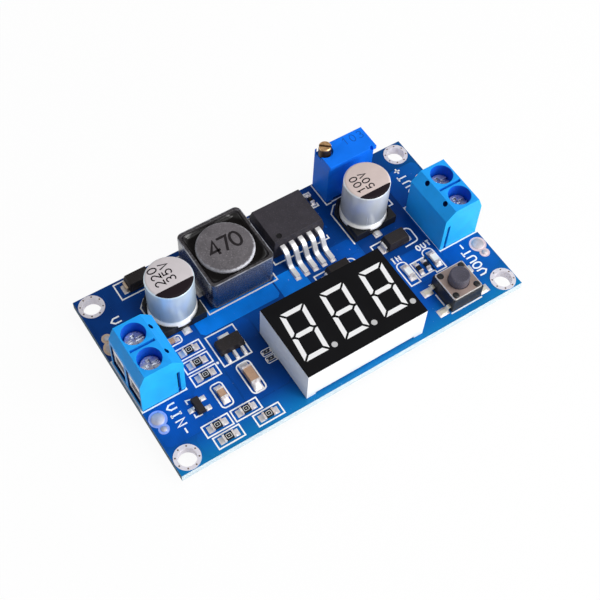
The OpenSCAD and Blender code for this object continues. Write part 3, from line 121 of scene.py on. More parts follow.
# Stage in metres
FLOOR_RADIUS, FLOOR_FLAT, FLOOR_RISE = 1.8, 0.9, 0.6
AIM = (0, 0, 0.005)
KEY_PLACE, KEY_SIZE = (0.28, -0.44, 0.24), 0.42
TOP_PLACE, TOP_SIZE = (0.15, -0.12, 0.5), 0.3
LENS_MM, SENSOR_MM, NEAREST = 66.337, 36.0, 0.005
CAMERA_PLACE = (-0.05757, -0.078594, 0.159616)
CAMERA_TURN = (0.54918327, -0.03543517, -0.57440162)


# Measures taken from the frame

def box_mm(node):
    """Lowest and highest corner of a node in board millimetres."""
    lo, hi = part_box(node)
    return np.array(lo) / MM - CORNER, np.array(hi) / MM - CORNER


def middle(box):
    """Half the sum of a box's two corners."""
    return (box[0] + box[1]) / 2


def within(point, box):
    """Whether a point lies over a box, seen from above."""
    return ((point[:2] > box[0][:2]) & (point[:2] < box[1][:2])).all()


def islands(node):
    """Boxes of the separate solids of a node, in board millimetres.

    Points at one place count as one point. Every point takes the lowest label among the triangles that
    it belongs to, again and again until no label changes, and points with one label are one solid."""
    mesh = NODES[node].data
    points = np.empty(len(mesh.vertices) * 3, np.float32)
    mesh.vertices.foreach_get("co", points)
    points = points.reshape(-1, 3).astype(float) / MM - CORNER
    corners = np.empty(len(mesh.loops), np.int32)
    mesh.loops.foreach_get("vertex_index", corners)
    place = np.unique(points.round(3), axis=0, return_inverse=True)[1].reshape(-1)
    triangles = place[corners].reshape(-1, 3)
    label = np.arange(place.max() + 1)
    while True:
        lowest = np.repeat(label[triangles].min(axis=1)[:, None], 3, axis=1)
        spread = label.copy()
        np.minimum.at(spread, triangles, lowest)
        if (spread == label).all():
            break
        label = spread
    of_point = label[place]
    return [(points[of_point == one].min(axis=0), points[of_point == one].max(axis=0))
            for one in np.unique(of_point)]


# Shapes: a shape is an array of points and a list of arrays of faces

def join(shapes):
    """Several shapes as one: points stacked, faces of each counted on from the points before it."""
    shapes = list(shapes)
    starts = np.cumsum([0] + [len(points) for points, _ in shapes])
    points = np.concatenate([points for points, _ in shapes])
    return points, [block + start for (_, blocks), start in zip(shapes, starts) for block in blocks]


def grid_faces(rows, columns, round_rows=False, round_columns=False):
    """Quads between neighbours of a grid of points, closed round in a direction where asked."""
    row = np.arange(rows if round_rows else rows - 1)[:, None]
    column = np.arange(columns if round_columns else columns - 1)[None, :]
    next_row, next_column = (row + 1) % rows, (column + 1) % columns
    quads = np.broadcast_arrays(row * columns + column, row * columns + next_column,
                                next_row * columns + next_column, next_row * columns + column)
    return np.stack(quads, axis=-1).reshape(-1, 4)


def shell(top, bottom, round_rows=False):
    """Closed body between two grids of the same size: both grids, and walls along their open borders."""
    rows, columns, _ = top.shape
    count = rows * columns
    upper = grid_faces(rows, columns, round_rows)
    index = np.arange(count).reshape(rows, columns)
    if round_rows:
        loops = [np.append(index[:, -1], index[0, -1]), np.append(index[::-1, 0], index[-1, 0])]
    else:
        border = np.concatenate([index[0, :-1], index[:-1, -1], index[-1, :0:-1], index[:0:-1, 0]])
        loops = [np.append(border, border[0])]
    walls = [np.stack([loop[1:], loop[:-1], loop[:-1] + count, loop[1:] + count], axis=1) for loop in loops]
    points = np.concatenate([top.reshape(-1, 3), bottom.reshape(-1, 3)])
    return points, [upper, upper[:, ::-1] + count] + walls


def raised(flat, top, floor, round_rows=False):
    """Closed body between a level floor and a surface of heights over flat places."""
    levels = (top, np.full_like(top, floor))
    return shell(*(np.stack([*flat, level], axis=-1) for level in levels), round_rows)


def slab(outline, z0, z1):
    """Flat plate: an outline that runs anticlockwise, carried from z0 up to z1."""
    outline = np.asarray(outline, float)
    n = len(outline)
    points = np.concatenate([np.column_stack([outline, np.full(n, z)]) for z in (z0, z1)])
    i = np.arange(n)
    j = (i + 1) % n
    return points, [np.stack([i, j, j + n, i + n], axis=1), (i + n)[None, :], i[None, ::-1]]


def ribbon(path, width, z0, z1, closed=False):
    """Printed line: a flat rectangle carried along a path.

    At every point the sideways step is the sum of the normals of the two stretches that meet, divided by
    one plus their product, which keeps the width through the corner; a sharp corner is cut short."""
    path = np.asarray(path, float)
    n = len(path)
    along = np.roll(path, -1, axis=0) - path
    along /= np.linalg.norm(along, axis=1, keepdims=True)
    after = np.column_stack([-along[:, 1], along[:, 0]])
    before = np.roll(after, 1, axis=0)
    if not closed:
        before[0], after[-1] = after[0], after[-2]
        before[-1] = after[-2]
    side = (before + after) / np.maximum(1 + (before * after).sum(axis=1, keepdims=True), 0.3)
    half, z = width / 2, np.array([z0, z1, z1, z0])
    across = np.array([half, half, -half, -half])
    flat = path[:, None, :] + side[:, None, :] * across[None, :, None]
    points = np.concatenate([flat, np.broadcast_to(z[None, :, None], (n, 4, 1))], axis=2).reshape(-1, 3)
    faces = [grid_faces(n, 4, closed, True)]
    if not closed:
        ends = np.arange(4)
        faces += [ends[None, ::-1], (ends + 4 * (n - 1))[None, :]]
    return points, faces


def turns_and_steps(turns, steps):
    """Grid of angles once round, in radians, and of even steps from 0 to 1."""
    angles = np.linspace(0, 2 * np.pi, turns, endpoint=False)
    return np.meshgrid(angles, np.linspace(0, 1, steps), indexing="ij")


def arc(cx, cy, rx, ry, start, end, count=9):
    """Points on an ellipse between two angles in degrees."""
    angle = np.radians(np.linspace(start, end, count))
    return np.column_stack([cx + rx * np.cos(angle), cy + ry * np.sin(angle)])


def box_outline(x0, y0, x1, y1, radii=(0, 0, 0, 0), count=7):
    """Rectangle, anticlockwise from its front left corner, each corner sharp or turned on its own radius
    with a count of points; with two points the corner is cut off at 45 degrees."""
    corners = ((x0, y0, 1, 1, 180), (x1, y0, -1, 1, 270), (x1, y1, -1, -1, 0), (x0, y1, 1, -1, 90))
    return np.concatenate([arc(x + sx * r, y + sy * r, r, r, a, a + 90, count) if r else np.array([[x, y]])
                           for (x, y, sx, sy, a), r in zip(corners, radii)])


STROKES = {
    "0": [arc(0.3, 0.5, 0.3, 0.5, 90, 450, 21)],
    "1": [[(0.1, 0.78), (0.34, 1), (0.34, 0)]],
    "2": [np.concatenate([arc(0.3, 0.7, 0.28, 0.3, 165, -38, 11), [(0.02, 0), (0.6, 0)]])],
    "3": [np.concatenate([arc(0.28, 0.75, 0.26, 0.25, 150, -80, 10),
                          arc(0.28, 0.26, 0.31, 0.26, 80, -150, 11)])],
    "4": [[(0.46, 0), (0.46, 1), (0, 0.3), (0.62, 0.3)]],
    "5": [np.concatenate([[(0.55, 1), (0.1, 1), (0.05, 0.54)], arc(0.28, 0.32, 0.3, 0.32, 128, -150, 13)])],
    "7": [[(0, 1), (0.6, 1), (0.22, 0)]],
    "I": [[(0.3, 0), (0.3, 1)], [(0.12, 0), (0.48, 0)], [(0.12, 1), (0.48, 1)]],
    "N": [[(0, 0), (0, 1), (0.6, 0), (0.6, 1)]],
    "O": [arc(0.3, 0.5, 0.32, 0.5, 90, 450, 21)],
    "T": [[(0, 1), (0.6, 1)], [(0.3, 1), (0.3, 0)]],
    "U": [np.concatenate([[(0, 1)], arc(0.3, 0.3, 0.3, 0.3, 180, 360, 11), [(0.6, 1)]])],
    "V": [[(0, 1), (0, 0.32), (0.3, 0), (0.6, 0.32), (0.6, 1)]],
    "v": [[(0, 1), (0.3, 0), (0.6, 1)]],
    "+": [[(-0.04, 0.5), (0.64, 0.5)], [(0.3, 0.16), (0.3, 0.84)]],
    "-": [[(0, 0.5), (0.6, 0.5)]],
}


def lettering(text, start, reading, height, step):
    """Stroke letters: every stroke of a sign, scaled to the height, turned to the reading direction and
    moved on by one step for each sign before it. Start is the foot of the first sign."""
    angle = math.radians(reading)
    turn = np.array([[math.cos(angle), math.sin(angle)], [-math.sin(angle), math.cos(angle)]])
    return [np.asarray(start) + (np.asarray(stroke, float) * height + (i * step, 0)) @ turn
            for i, sign in enumerate(text) for stroke in STROKES[sign]]


# Pieces

def smooth_by_angle(mesh, degrees):
    """Shades a mesh smooth, and keeps edges sharp that turn by more than so many degrees."""
    mesh.shade_smooth()
    mesh.set_sharp_from_angle(angle=math.radians(degrees))


def merged(mesh, distance, *steps):
    """Merges points of a mesh closer than a distance in metres, then runs further steps on it."""
    work = bmesh.new()
    work.from_mesh(mesh)
    bmesh.ops.remove_doubles(work, verts=work.verts, dist=distance)
    for step in steps:
        step(work)
    work.to_mesh(mesh)
    work.free()


def turn_outwards(work):
    """Turns all faces of a closed mesh outwards."""
    bmesh.ops.recalc_face_normals(work, faces=work.faces)


def join_flat_neighbours(work):
    """Makes one face of neighbours that lie within half a degree of one plane."""
    bmesh.ops.dissolve_limit(work, angle_limit=math.radians(0.5), verts=work.verts, edges=work.edges)


def linked(name, data):
    """An object of a mesh, lamp or camera, put into the scene."""
    made = bpy.data.objects.new(name, data)
    bpy.context.scene.collection.objects.link(made)
    return made


def finished(name, mesh, finish, body):
    """Links a mesh as a piece that rides on a body and takes its finish from a slot."""
    mesh.materials.clear()
    mesh.materials.append(finish)
    made = linked(name, mesh)
    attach(made, body)
    return made


def piece(name, shape, finish, smooth=None):
    """A piece from a shape: doubles merged, faces turned outwards, moved into the part's frame."""
    points, blocks = shape
    mesh = bpy.data.meshes.new(name)
    faces = [face for block in blocks for face in block.tolist()]
    mesh.from_pydata(((points + CORNER) * MM).tolist(), [], faces)
    merged(mesh, 1e-7, turn_outwards)
    if smooth is not None:
        smooth_by_angle(mesh, smooth)
    return finished(name, mesh, finish, "module")


def printed(name, paths, ink, level, width, height):
    """Print on a level face: lines of one width along paths, sunk a little into the face."""
    return piece(name, join(ribbon(path, width, level - SINK, level + height) for path in paths), ink)


def rounded(node, finish, edge=0.0, flat=False):
    """Stands for a CAD node: a copy of its mesh with doubles merged, flat neighbours joined, curved faces
    shaded smooth unless asked for flat and, where an edge is given, every sharp edge rounded by that many
    millimetres."""
    mesh = NODES[node].data.copy()
    merged(mesh, 1e-6, join_flat_neighbours)
    if flat:
        mesh.shade_flat()
    else:
        smooth_by_angle(mesh, SMOOTH_ANGLE)
    made = finished(f"{node}_rounded", mesh, finish, BODY_OF[node])
    if edge:
        bevel = made.modifiers.new("edge_round", "BEVEL")
        bevel.width = edge * MM
        bevel.segments = 2
        bevel.limit_method = "ANGLE"
        bevel.angle_limit = math.radians(SMOOTH_ANGLE)
        bevel.harden_normals = not flat
    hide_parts(node)
    return made


def painted(node, finish):
    """Gives a CAD node that is shown as it is its finish."""
    NODES[node].data.materials.clear()
    NODES[node].data.materials.append(finish)


# Finishes

def maths(operation, swapped=False):
    """Method that adds a Math node for a value and an operand, in turned order where asked."""
    def combine(self, other=0.0):
        return self.math(operation, *((other, self) if swapped else (self, other)))
    return combine


class Value:
    """One output socket of a finish; arithmetic on it adds Math nodes."""

    def __init__(self, finish, socket):
        self.finish, self.socket = finish, socket

    def math(self, operation, *operands):
        """Adds a Math node."""
        return self.finish.node("ShaderNodeMath", {"operation": operation}, dict(enumerate(operands)))

    __add__ = __radd__ = maths("ADD")
    __sub__, __rsub__ = maths("SUBTRACT"), maths("SUBTRACT", True)
    __mul__ = __rmul__ = maths("MULTIPLY")
    __truediv__, __rtruediv__ = maths("DIVIDE"), maths("DIVIDE", True)
    __gt__, __lt__ = maths("GREATER_THAN"), maths("LESS_THAN")
    __or__ = __ror__ = maths("MAXIMUM")
    __and__ = __rand__ = maths("MINIMUM")
    __abs__ = maths("ABSOLUTE")
    root = maths("SQRT")


class Finish:
    """A node material with one Principled shader. Numbers that stay the same are set on its sockets."""

    def __init__(self, name, **constants):
        self.material = bpy.data.materials.new(name)
        self.material.use_nodes = True
        self.tree = self.material.node_tree
        self.shader = self.tree.nodes["Principled BSDF"]
        self.feed(**constants)

    def node(self, kind, settings=None, inputs=None, output=0):
        """Adds a node: its settings first, then numbers or links for its sockets."""
        made = self.tree.nodes.new(kind)
        for key, setting in (settings or {}).items():
            setattr(made, key, setting)
        for key, given in (inputs or {}).items():
            self.plug(made.inputs[key], given)
        return Value(self, made.outputs[output])

    def plug(self, socket, given):
        """Links a value to a socket, or sets a number or colour on it."""
        if isinstance(given, Value):
            self.tree.links.new(given.socket, socket)
        else:
            socket.default_value = given

    def feed(self, **values):
        """Plugs values into the shader's sockets, named with _ for a space."""
        for socket, given in values.items():
            self.plug(self.shader.inputs[socket.replace("_", " ")], given)
        return self

    def point(self, stretch=None):
        """The point on the surface, in the part's frame, stretched where asked."""
        place = self.node("ShaderNodeTexCoord", output="Object")
        if stretch is None:
            return place
        return self.node("ShaderNodeMapping", None, {"Vector": place, "Scale": stretch})

    def place(self):
        """The point's x, y and z in board millimetres."""
        split = self.node("ShaderNodeSeparateXYZ", None, {0: self.point()})
        parts = (Value(self, split.socket.node.outputs[i]) for i in range(3))
        return [part / MM - corner for part, corner in zip(parts, CORNER)]

    def squared(self, centre):
        """Square of the distance to an upright axis."""
        x, y, _ = self.place()
        across, along = x - centre[0], y - centre[1]
        return across * across + along * along

    def round_mark(self, centres, radius):
        """1 where a point is nearer than the radius to one of the upright axes, 0 elsewhere."""
        mark = 0.0
        for centre in centres:
            mark = (self.squared(centre) < radius ** 2) | mark
        return mark

    def noise(self, size, detail=2.0, stretch=None):
        """Soft noise whose lumps are about so many millimetres across, from 0 to 1 around 0.5."""
        return self.node("ShaderNodeTexNoise", None, {
            "Vector": self.point(stretch), "Scale": 1 / (size * MM), "Detail": detail, "Roughness": 0.55})

    def between(self, value, low, high):
        """0 below the low number, 1 above the high one, even in between."""
        return self.node("ShaderNodeMapRange", {"clamp": True}, {0: value, 1: low, 2: high, 3: 0.0, 4: 1.0})

    def patches(self, size, low=0.3, high=0.7, detail=2.0):
        """Noise with its middle range spread from 0 to 1."""
        return self.between(self.noise(size, detail), low, high)

    def mix(self, factor, first, second):
        """Colour between two colours."""
        first, second = (c if isinstance(c, Value) else (*c, 1.0)[:4] for c in (first, second))
        return self.node("ShaderNodeMix", {"data_type": "RGBA"}, {0: factor, 6: first, 7: second}, 2)

    def shades(self, factor, colour, low, high):
        """Colour between two tones of one colour."""
        return self.mix(factor, tone(colour, low), tone(colour, high))

    def done(self, colour, roughness, height, depth, strength, **more):
        """Feeds the shader a colour, a roughness and a fine relief, whose height from 0 to 1 stands for so
        many millimetres, and gives the material."""
        bump = self.node("ShaderNodeBump", None, {
            "Strength": strength, "Distance": depth * MM, "Height": height})
        return self.feed(Base_Color=colour, Roughness=roughness, Normal=bump, **more).material


def tone(colour, factor):
    """A lighter or darker tone of a colour."""
    return tuple(min(1.0, part * factor) for part in colour[:3])


def moulded(name, colour, roughness, *, specular=0.25, drift=0.16, grain=0.09, depth=0.004):
    """Moulded plastic: a slow drift of tone, fine grain in tone, gloss and relief."""
    f = Finish(name, Specular_IOR_Level=specular)
    slow, fine = f.patches(3.2), f.noise(grain, 3.0)
    return f.done(f.shades(slow * 0.65 + fine * 0.35, colour, 1 - drift, 1 + drift),
                  fine * 0.2 + slow * 0.06 + (roughness - 0.13), fine, depth, 0.6)


def housing_finish(name, colour, sheen_tint, deep, axes, radius, ends):
    """Moulded terminal plastic with painted light that makes the end walls paler, and painted shade: deeper
    inside the screw bores, which are round an axis, and darkest in the clamp chambers, which are boxes under
    the bores, and in the small blind holes of the slopes, in a ball round a hole's floor."""
    f = Finish(name, Specular_IOR_Level=0.1)
    x, y, z = f.place()
    low, high = CHAMBER_Z
    front, back = ends
    dark = 0.0
    # Painted shade in the clamp chambers and the blind holes.
    for cx, cy in axes:
        across, along, up = x - cx, y - cy, z - BLIND_HOLE_Z
        chamber = (abs(across) < CHAMBER_HALF[0]) * (abs(along) < CHAMBER_HALF[1])
        dark = chamber * (z > low) * (z < high) | dark
        across = across - math.copysign(BLIND_HOLE_OUT, BOARD_L / 2 - cx)
        dark = (across * across + along * along + up * up < BLIND_HOLE_BALL ** 2) | dark
    slow, fine = f.patches(3.2), f.noise(0.2, 3.0)
    # Painted light: the end walls take the paler sheen tint.
    skin = f.mix((y < front + END_WALL) | (y > back - END_WALL),
                 f.shades(slow * 0.65 + fine * 0.35, colour, 0.92, 1.08), f.shades(slow, sheen_tint, 0.92, 1.08))
    # Painted shade: deeper tone in the bores, darkest in the chambers and blind holes.
    return f.done(f.mix(dark, f.mix(f.round_mark(axes, radius), skin, deep), tone(deep, 0.16)),
                  fine * 0.2 + slow * 0.06 + 0.3, fine, 0.008, 0.6)


def segment_finish(name, colour, points, radius):
    """Milky resin with a fine grain in tone and gloss, greyer in the round points."""
    f = Finish(name, Specular_IOR_Level=0.3)
    fine = f.noise(0.09, 3.0)
    milky = f.shades(fine, colour, 0.95, 1.05)
    return f.done(f.mix(f.round_mark(points, radius), milky, tone(colour, 0.62)), fine * 0.2 + 0.3,
                  fine, 0.004, 0.6)


def plated(name, colour, roughness, *, grain=0.25, depth=0.006, dull=0.72, stretch=None, metallic=0.7,
           patch=1.4):
    """Plated or bare metal: cloudy patches that are duller and rougher, and a fine drawn or cast grain.
    A skin of oxide and flux makes it less than fully metallic."""
    f = Finish(name, Metallic=metallic)
    cloud, fine = f.patches(patch, 0.32, 0.68, 3.0), f.noise(grain, 3.0, stretch)
    return f.done(f.shades(cloud * 0.6 + fine * 0.4, colour, dull, 1.0),
                  (1 - cloud) * 0.12 + fine * 0.16 + (roughness - 0.1), fine, depth, 0.7)


def end_finish(name, colour, flux, dark, small):
    """Chip ends: tin with brownish patches of flux, and painted shade that darkens the smallest chips,
    inside a box beside the display's left end.
    """
    f = Finish(name, Metallic=0.5)
    x, y, _ = f.place()
    x0, y0, x1, y1 = small
    # Painted shade: ends inside the box take the dark colour.
    inside = (x > x0) * (x < x1) * (y > y0) * (y < y1)
    cloud, fine = f.patches(0.5, 0.36, 0.64, 3.0), f.noise(0.2, 3.0)
    return f.done(f.mix(inside, f.mix(cloud, flux, colour), dark), (1 - cloud) * 0.15 + fine * 0.16 + 0.28,
                  fine, 0.012, 0.7)


def pad_finish(name, dome, rims, level):
    """Wire pad: a soft grey dome inside a flat rim, which is pinkish flux at the output end, tan at the back
    of the input end, and bluish in front of the input end as a painted reflection."""
    f = Finish(name, Metallic=0.3)
    x, y, z = f.place()
    pink, tan, blue = rims
    cloud, fine = f.patches(0.9, detail=3.0), f.noise(0.3, 3.0)
    # Painted reflection: the rim's front part at the input end is bluish.
    rim = f.mix(x < BOARD_L / 2, pink, f.mix(y < BOARD_W / 2, tan, blue))
    raised_part = f.between(z, level + 0.03, level + 0.16) * 0.85
    return f.done(f.mix(raised_part, rim, f.shades(cloud, dome, 0.75, 1.1)),
                  fine * 0.2 + cloud * 0.1 + 0.36, fine * 0.4 + cloud * 0.6, 0.03, 0.7)


def speckled(name, colour, fleck, roughness, *, specular=0.25, pit=None):
    """Filled resin or pressed powder: flecks of a second colour over a slow drift, in a pitted skin. A round
    mark, given by its middle and radius, is darker."""
    f = Finish(name, Specular_IOR_Level=specular)
    slow, fine = f.patches(2.2), f.noise(POWDER, 4.0)
    ground = f.shades(slow * 0.5 + fine * 0.5, colour, 0.7, 1.25)
    skin = f.mix(f.patches(POWDER * 0.6, 0.56, 0.7), ground, fleck)
    if pit:
        skin = f.mix(f.round_mark([pit[:2]], pit[2]), skin, tone(colour, 0.15))
    return f.done(skin, fine * 0.24 + (roughness - 0.12), fine, 0.014, 0.8)


def shield_finish(name, colour, dust, wear_and_sheen, lo, hi):
    """Glazed dark ferrite: near black sides under a hard glaze, which thins towards the foot; their blue
    cast and their lightening towards the top and the right are painted reflection. A dusty dark rim, and
    light scuffed edges, partly wear and partly a painted highlight, where a point is both close to the top
    and close to the outside."""
    f = Finish(name, Coat_IOR=2.1, Coat_Roughness=0.22)
    x, y, z = f.place()
    (cx, cy, _), (wide, _, tall), top = (lo + hi) / 2, hi - lo, hi[2]
    half = wide / 2
    out = abs(x - cx) | abs(y - cy)
    fine, slow = f.noise(0.3, 4.0), f.patches(1.6, 0.34, 0.66, 3.0)
    rim = f.between(z, top - 0.14, top - 0.06)
    # Light edges: partly wear, partly a painted highlight.
    edge = f.between(z, top - 0.3, top - 0.02) * f.between(out, half - 0.42, half - 0.04)
    scuffed_and_highlit = f.between(edge + fine * 0.5 + slow * 0.3, 0.95, 1.3)
    chalky = f.between(fine + slow * 0.25, 0.76, 0.88) * (rim * 0.25 + 0.04)
    # Painted reflection: the sides lighten towards the top and the right.
    way = (z - lo[2]) * 0.65 / tall + (x - lo[0]) * 0.35 / wide
    sheen_and_glaze = f.between(way + (fine - 0.5) * 0.5, 0.3, 1.0)
    side = f.mix(sheen_and_glaze, f.shades(slow, colour, 0.7, 1.3), tone(wear_and_sheen, 0.4))
    skin = f.mix(rim, side, f.shades(f.between(fine, 0.36, 0.64), dust, 0.45, 1.3))
    return f.done(f.mix(scuffed_and_highlit | chalky, skin, wear_and_sheen), scuffed_and_highlit * 0.2 + fine * 0.22 + rim * 0.15 + 0.16,
                  fine * (rim * 0.95 + 0.05), 0.03, 0.8,
                  Coat_Weight=(1 - rim) * (slow * 0.2 + 0.6) * (sheen_and_glaze * 0.55 + 0.4))


def mask_finish(name, colour, behind, sheen_tint, cut):
    """Solder mask over glass fibre: slow patches of depth, a faint weave seen through it and specks of dust.
    It takes a second, darker tone towards the back as painted shade behind the tall parts, has a painted
    shadow of the display beside the display's left end, and a lighter painted sheen along the front edge
    and the output end. The cut edge is pale fibre in layers, with darker painted shade on the input end."""
    f = Finish(name, Specular_IOR_Level=0.1)
    x, y, _ = f.place()
    slow, fine = f.patches(6.0, 0.32, 0.68, 3.0), f.noise(0.35, 3.0)
    weave = f.node("ShaderNodeTexWave", {"wave_type": "BANDS", "bands_direction": "X"},
                   {"Vector": f.point(), "Scale": 1 / (WEAVE * MM), "Distortion": 1.2})
    depth = slow * 0.75 + fine * 0.15 + weave * 0.1
    # Painted shade: the darker tone towards the back.
    mask = f.mix(f.between(y, *BACK_ZONE), f.shades(depth, colour, 0.78, 1.26),
                 f.shades(depth, behind, 0.78, 1.26))
    # Painted shadow of the display beside its left end.
    left, right, front, back = DISPLAY_SHADOW_ZONE
    display_shadow = f.between(x, *left) * (x < right) * f.between(y, *front) * f.between(y, *back)
    mask = f.mix(display_shadow * 0.75, mask, tone(behind, 0.35))
    # Painted sheen: lighter towards the front edge and the output end.
    pale = f.between(y, PALE_FRONT, 0.0) * 0.5 + f.between(x, BOARD_L - PALE_END, BOARD_L) * 0.15
    dusty = f.mix(f.patches(0.42, 0.77, 0.82, 1.0) * 0.3, f.mix(pale, mask, sheen_tint), DUST)
    half_l, half_w = BOARD_L / 2, BOARD_W / 2
    edge = (abs(x - half_l) > half_l - CUT_SKIN) | (abs(y - half_w) > half_w - CUT_SKIN)
    layers = f.noise(0.2, 3.0, (0.15, 0.15, 1.0))
    # Painted shade: the cut edge on the input end is darker.
    sawn = f.mix(x < CUT_SKIN, cut, tone(cut, 0.12))
    fibre = f.mix(f.between(layers, 0.3, 0.7) * 0.35, sawn, sheen_tint)
    return f.done(f.mix(edge, dusty, fibre), edge * 0.3 + fine * 0.14 + 0.26,
                  fine * 0.5 + layers * edge, 0.008, 0.5)


def can_finish(name, side, top, ink, lo, hi, chord):
    """Drawn aluminium can: a fine blasted top, a bright side with upright drawing lines whose tint holds a
    painted reflection of the blue parts beside it, and a white, barely metallic bead at its foot as a
    painted highlight. The minus side's dark print covers the top in front of a chord, over the rounded
    shoulder."""
    f = Finish(name, Specular_IOR_Level=0.12)
    _, y, z = f.place()
    lid = z > hi[2] - 0.12
    minus = (y < (lo + hi)[1] / 2 + chord) * (z > hi[2] - 0.2)
    # Painted highlight: the bead at the foot is white and barely metallic.
    bead = f.between(z, lo[2] + 1.3, lo[2] + 1.0)
    lines = f.noise(0.3, 3.0, (1.0, 1.0, 0.04))
    blasted, cloud = f.noise(0.07, 3.0), f.patches(1.8)
    drawn = f.shades(lines * 0.5 + cloud * 0.5, side, 0.9, 1.0)
    matt = f.shades(blasted * 0.6 + cloud * 0.4, top, 0.9, 1.06)
    bare = f.mix(lid, f.mix(bead, drawn, (1.0, 1.0, 1.0)), matt)
    return f.done(f.mix(minus, bare, f.shades(blasted, ink, 0.7, 1.5)), lid * 0.22 + lines * 0.1 + 0.2,
                  lid * blasted + (1 - lid) * lines, 0.006, 0.5,
                  Metallic=(0.36 - bead * 0.3 - lid * 0.1) * (1 - minus))


def glossy_print(name, colour, roughness):
    """Ink: thin and thick places show as tone, with a slightly rough skin."""
    f = Finish(name, Specular_IOR_Level=0.06)
    fine = f.noise(0.12, 3.0)
    return f.done(f.shades(f.between(fine, 0.3, 0.7), colour, 0.85, 1.05), fine * 0.2 + (roughness - 0.1),
                  fine, 0.004, 0.5)


# Settings that a user would change

def tint(name, description, default):
    """Colour that a user may change."""
    return FloatVectorProperty(name=name, description=description, default=default, subtype="COLOR",
                               min=0, max=1)


def length(name, description, default_mm):
    """Length that a user may change, shown in the scene's unit and given here in millimetres."""
    return FloatProperty(name=name, description=description, default=default_mm * MM, min=0, unit="LENGTH",
                         precision=6)


def power(name, description, default):
    """Power of a lamp in watts that a user may change."""
    return FloatProperty(name=name, description=description, default=default, min=0, unit="POWER")


class BoardSettings(bpy.types.PropertyGroup):
    bare: tint("Bare mask", "Solder mask where no copper lies under it", (0.001, 0.07, 0.34))
    # The deep tone is painted shade, on the deep fields and towards the back; the bright tone is painted
    # light.
    deep: tint("Deep fields", "Solder mask over the darker copper fields", (0.001, 0.04, 0.21))
    plain: tint("Plain fields", "Solder mask over most copper fields", (0.001, 0.075, 0.39))
    bright: tint("Bright fields", "Solder mask over the lightest copper fields", (0.002, 0.21, 0.86))
    # The sheen tint paints a lighter sheen along the front edge and the output end, and tints the cut fibre.
    sheen_tint: tint("Thin mask", "Where the mask thins out towards the edges", (0.006, 0.28, 0.54))
    cut: tint("Cut edge", "Glass fibre at the board's sawn edge", (0.7, 0.76, 0.77))
    ink: tint("Print", "White outlines and words on the board", (1.0, 1.0, 1.0))
    line: length("Line width", "Width of the printed outlines", 0.24)
    tin: tint("Tin", "Tinned pads and leads", (0.95, 0.94, 0.94))
    solder: tint("Solder", "Solder at the chips and leads", (0.95, 0.9, 0.9))
    ring: tint("Ring", "Tinned rings of the corner holes", (0.84, 0.8, 0.86))
    pad: tint("Wire pads", "Solder domes of the wire pads", (0.54, 0.51, 0.54))
    flux: tint("Pad rims", "Pinkish rims of the wire pads at the output end", (0.8, 0.64, 0.66))
    tarnish: tint("Tarnish", "Tan rim of the wire pad at the input end's back", (0.62, 0.46, 0.34))
    # The blue front rim is a painted reflection.
    sheen: tint("Sheen", "Blue rim of the wire pad at the input end's front", (0.28, 0.4, 0.86))


class TerminalSettings(bpy.types.PropertyGroup):
    plastic: tint("Housing", "Sky blue plastic of the terminals", (0.016, 0.35, 0.92))
    # The end walls' paler tint is painted light.
    sheen_tint: tint("End walls", "Thinner plastic of the end walls", (0.024, 0.47, 0.95))
    # The bores' deeper tone is painted shade.
    deep: tint("Bores", "Deeper tone inside the screw bores", (0.004, 0.12, 0.72))
    # The screws' blue cast is a painted reflection of the blue housing.
    screw: tint("Screws", "Zinc on the clamp screws", (0.78, 0.82, 0.9))
    cage: tint("Cages", "Tinned brass of the clamp cages", (0.8, 0.78, 0.8))
    edge: length("Edge", "Rounding of the housing's edges", 0.1)


class DisplaySettings(bpy.types.PropertyGroup):
    case: tint("Case", "White plastic of the display", (0.84, 0.85, 0.86))
    face: tint("Face", "Black film on the display", (0.004, 0.004, 0.005))
    segment: tint("Segments", "Milky resin in the segments", (0.84, 0.84, 0.85))


class InductorSettings(bpy.types.PropertyGroup):
    # The shield's blue cast is a painted reflection of the board.
    shield: tint("Shield", "Glazed dark ferrite", (0.012, 0.013, 0.036))
    # The edge colour is partly wear and partly a painted highlight, and also paints the sides' reflection.
    wear_and_sheen: tint("Worn edge", "Rubbed edges of the shield", (0.3, 0.31, 0.35))
    core: tint("Core", "Ground grey ferrite", (0.125, 0.115, 0.125))
    # The core rim colour is partly wear and partly a painted highlight.
    scuffed_and_highlit: tint("Core rim", "Rubbed rim of the core", (0.42, 0.42, 0.46))
    dust: tint("Dusty glue", "Glue that thins out up the shield's wall", (0.04, 0.036, 0.04))
    resin: tint("Resin", "Dark glue round the core", (0.006, 0.005, 0.005))


class PackageSettings(bpy.types.PropertyGroup):
    resin: tint("Moulding", "Black moulding resin", (0.038, 0.034, 0.042))
    diode: tint("Diodes", "Brownish moulding resin of the diodes", (0.02, 0.016, 0.016))
    resistor: tint("Resistors", "Black glaze on the chip resistors", (0.01, 0.01, 0.011))
    ceramic: tint("Ceramic", "Tan body of the chip capacitors", (0.5, 0.31, 0.2))
    lens: tint("Lights", "Clear resin of the indicator lights", (0.93, 0.98, 0.97))


class CapacitorSettings(bpy.types.PropertyGroup):
    # The side tints hold a painted reflection of the blue parts, most on the input can.
    input_side: tint("Input can", "Side of the input can", (0.76, 0.9, 1.0))
    output_side: tint("Output can", "Side of the output can", (0.88, 0.93, 0.98))
    input_top: tint("Input top", "Blasted top of the input can", (0.7, 0.65, 0.67))
    output_top: tint("Output top", "Blasted top of the output can", (0.72, 0.6, 0.57))
    ink: tint("Print", "Dark print on the cans", (0.012, 0.007, 0.01))


class TrimmerSettings(bpy.types.PropertyGroup):
    plastic: tint("Housing", "Deep blue plastic of the trimmer", (0.006, 0.18, 0.9))
    print: tint("Print", "Faint value on the trimmer", (0.008, 0.11, 0.55))
    brass: tint("Screw", "Turned brass", (0.8, 0.49, 0.24))


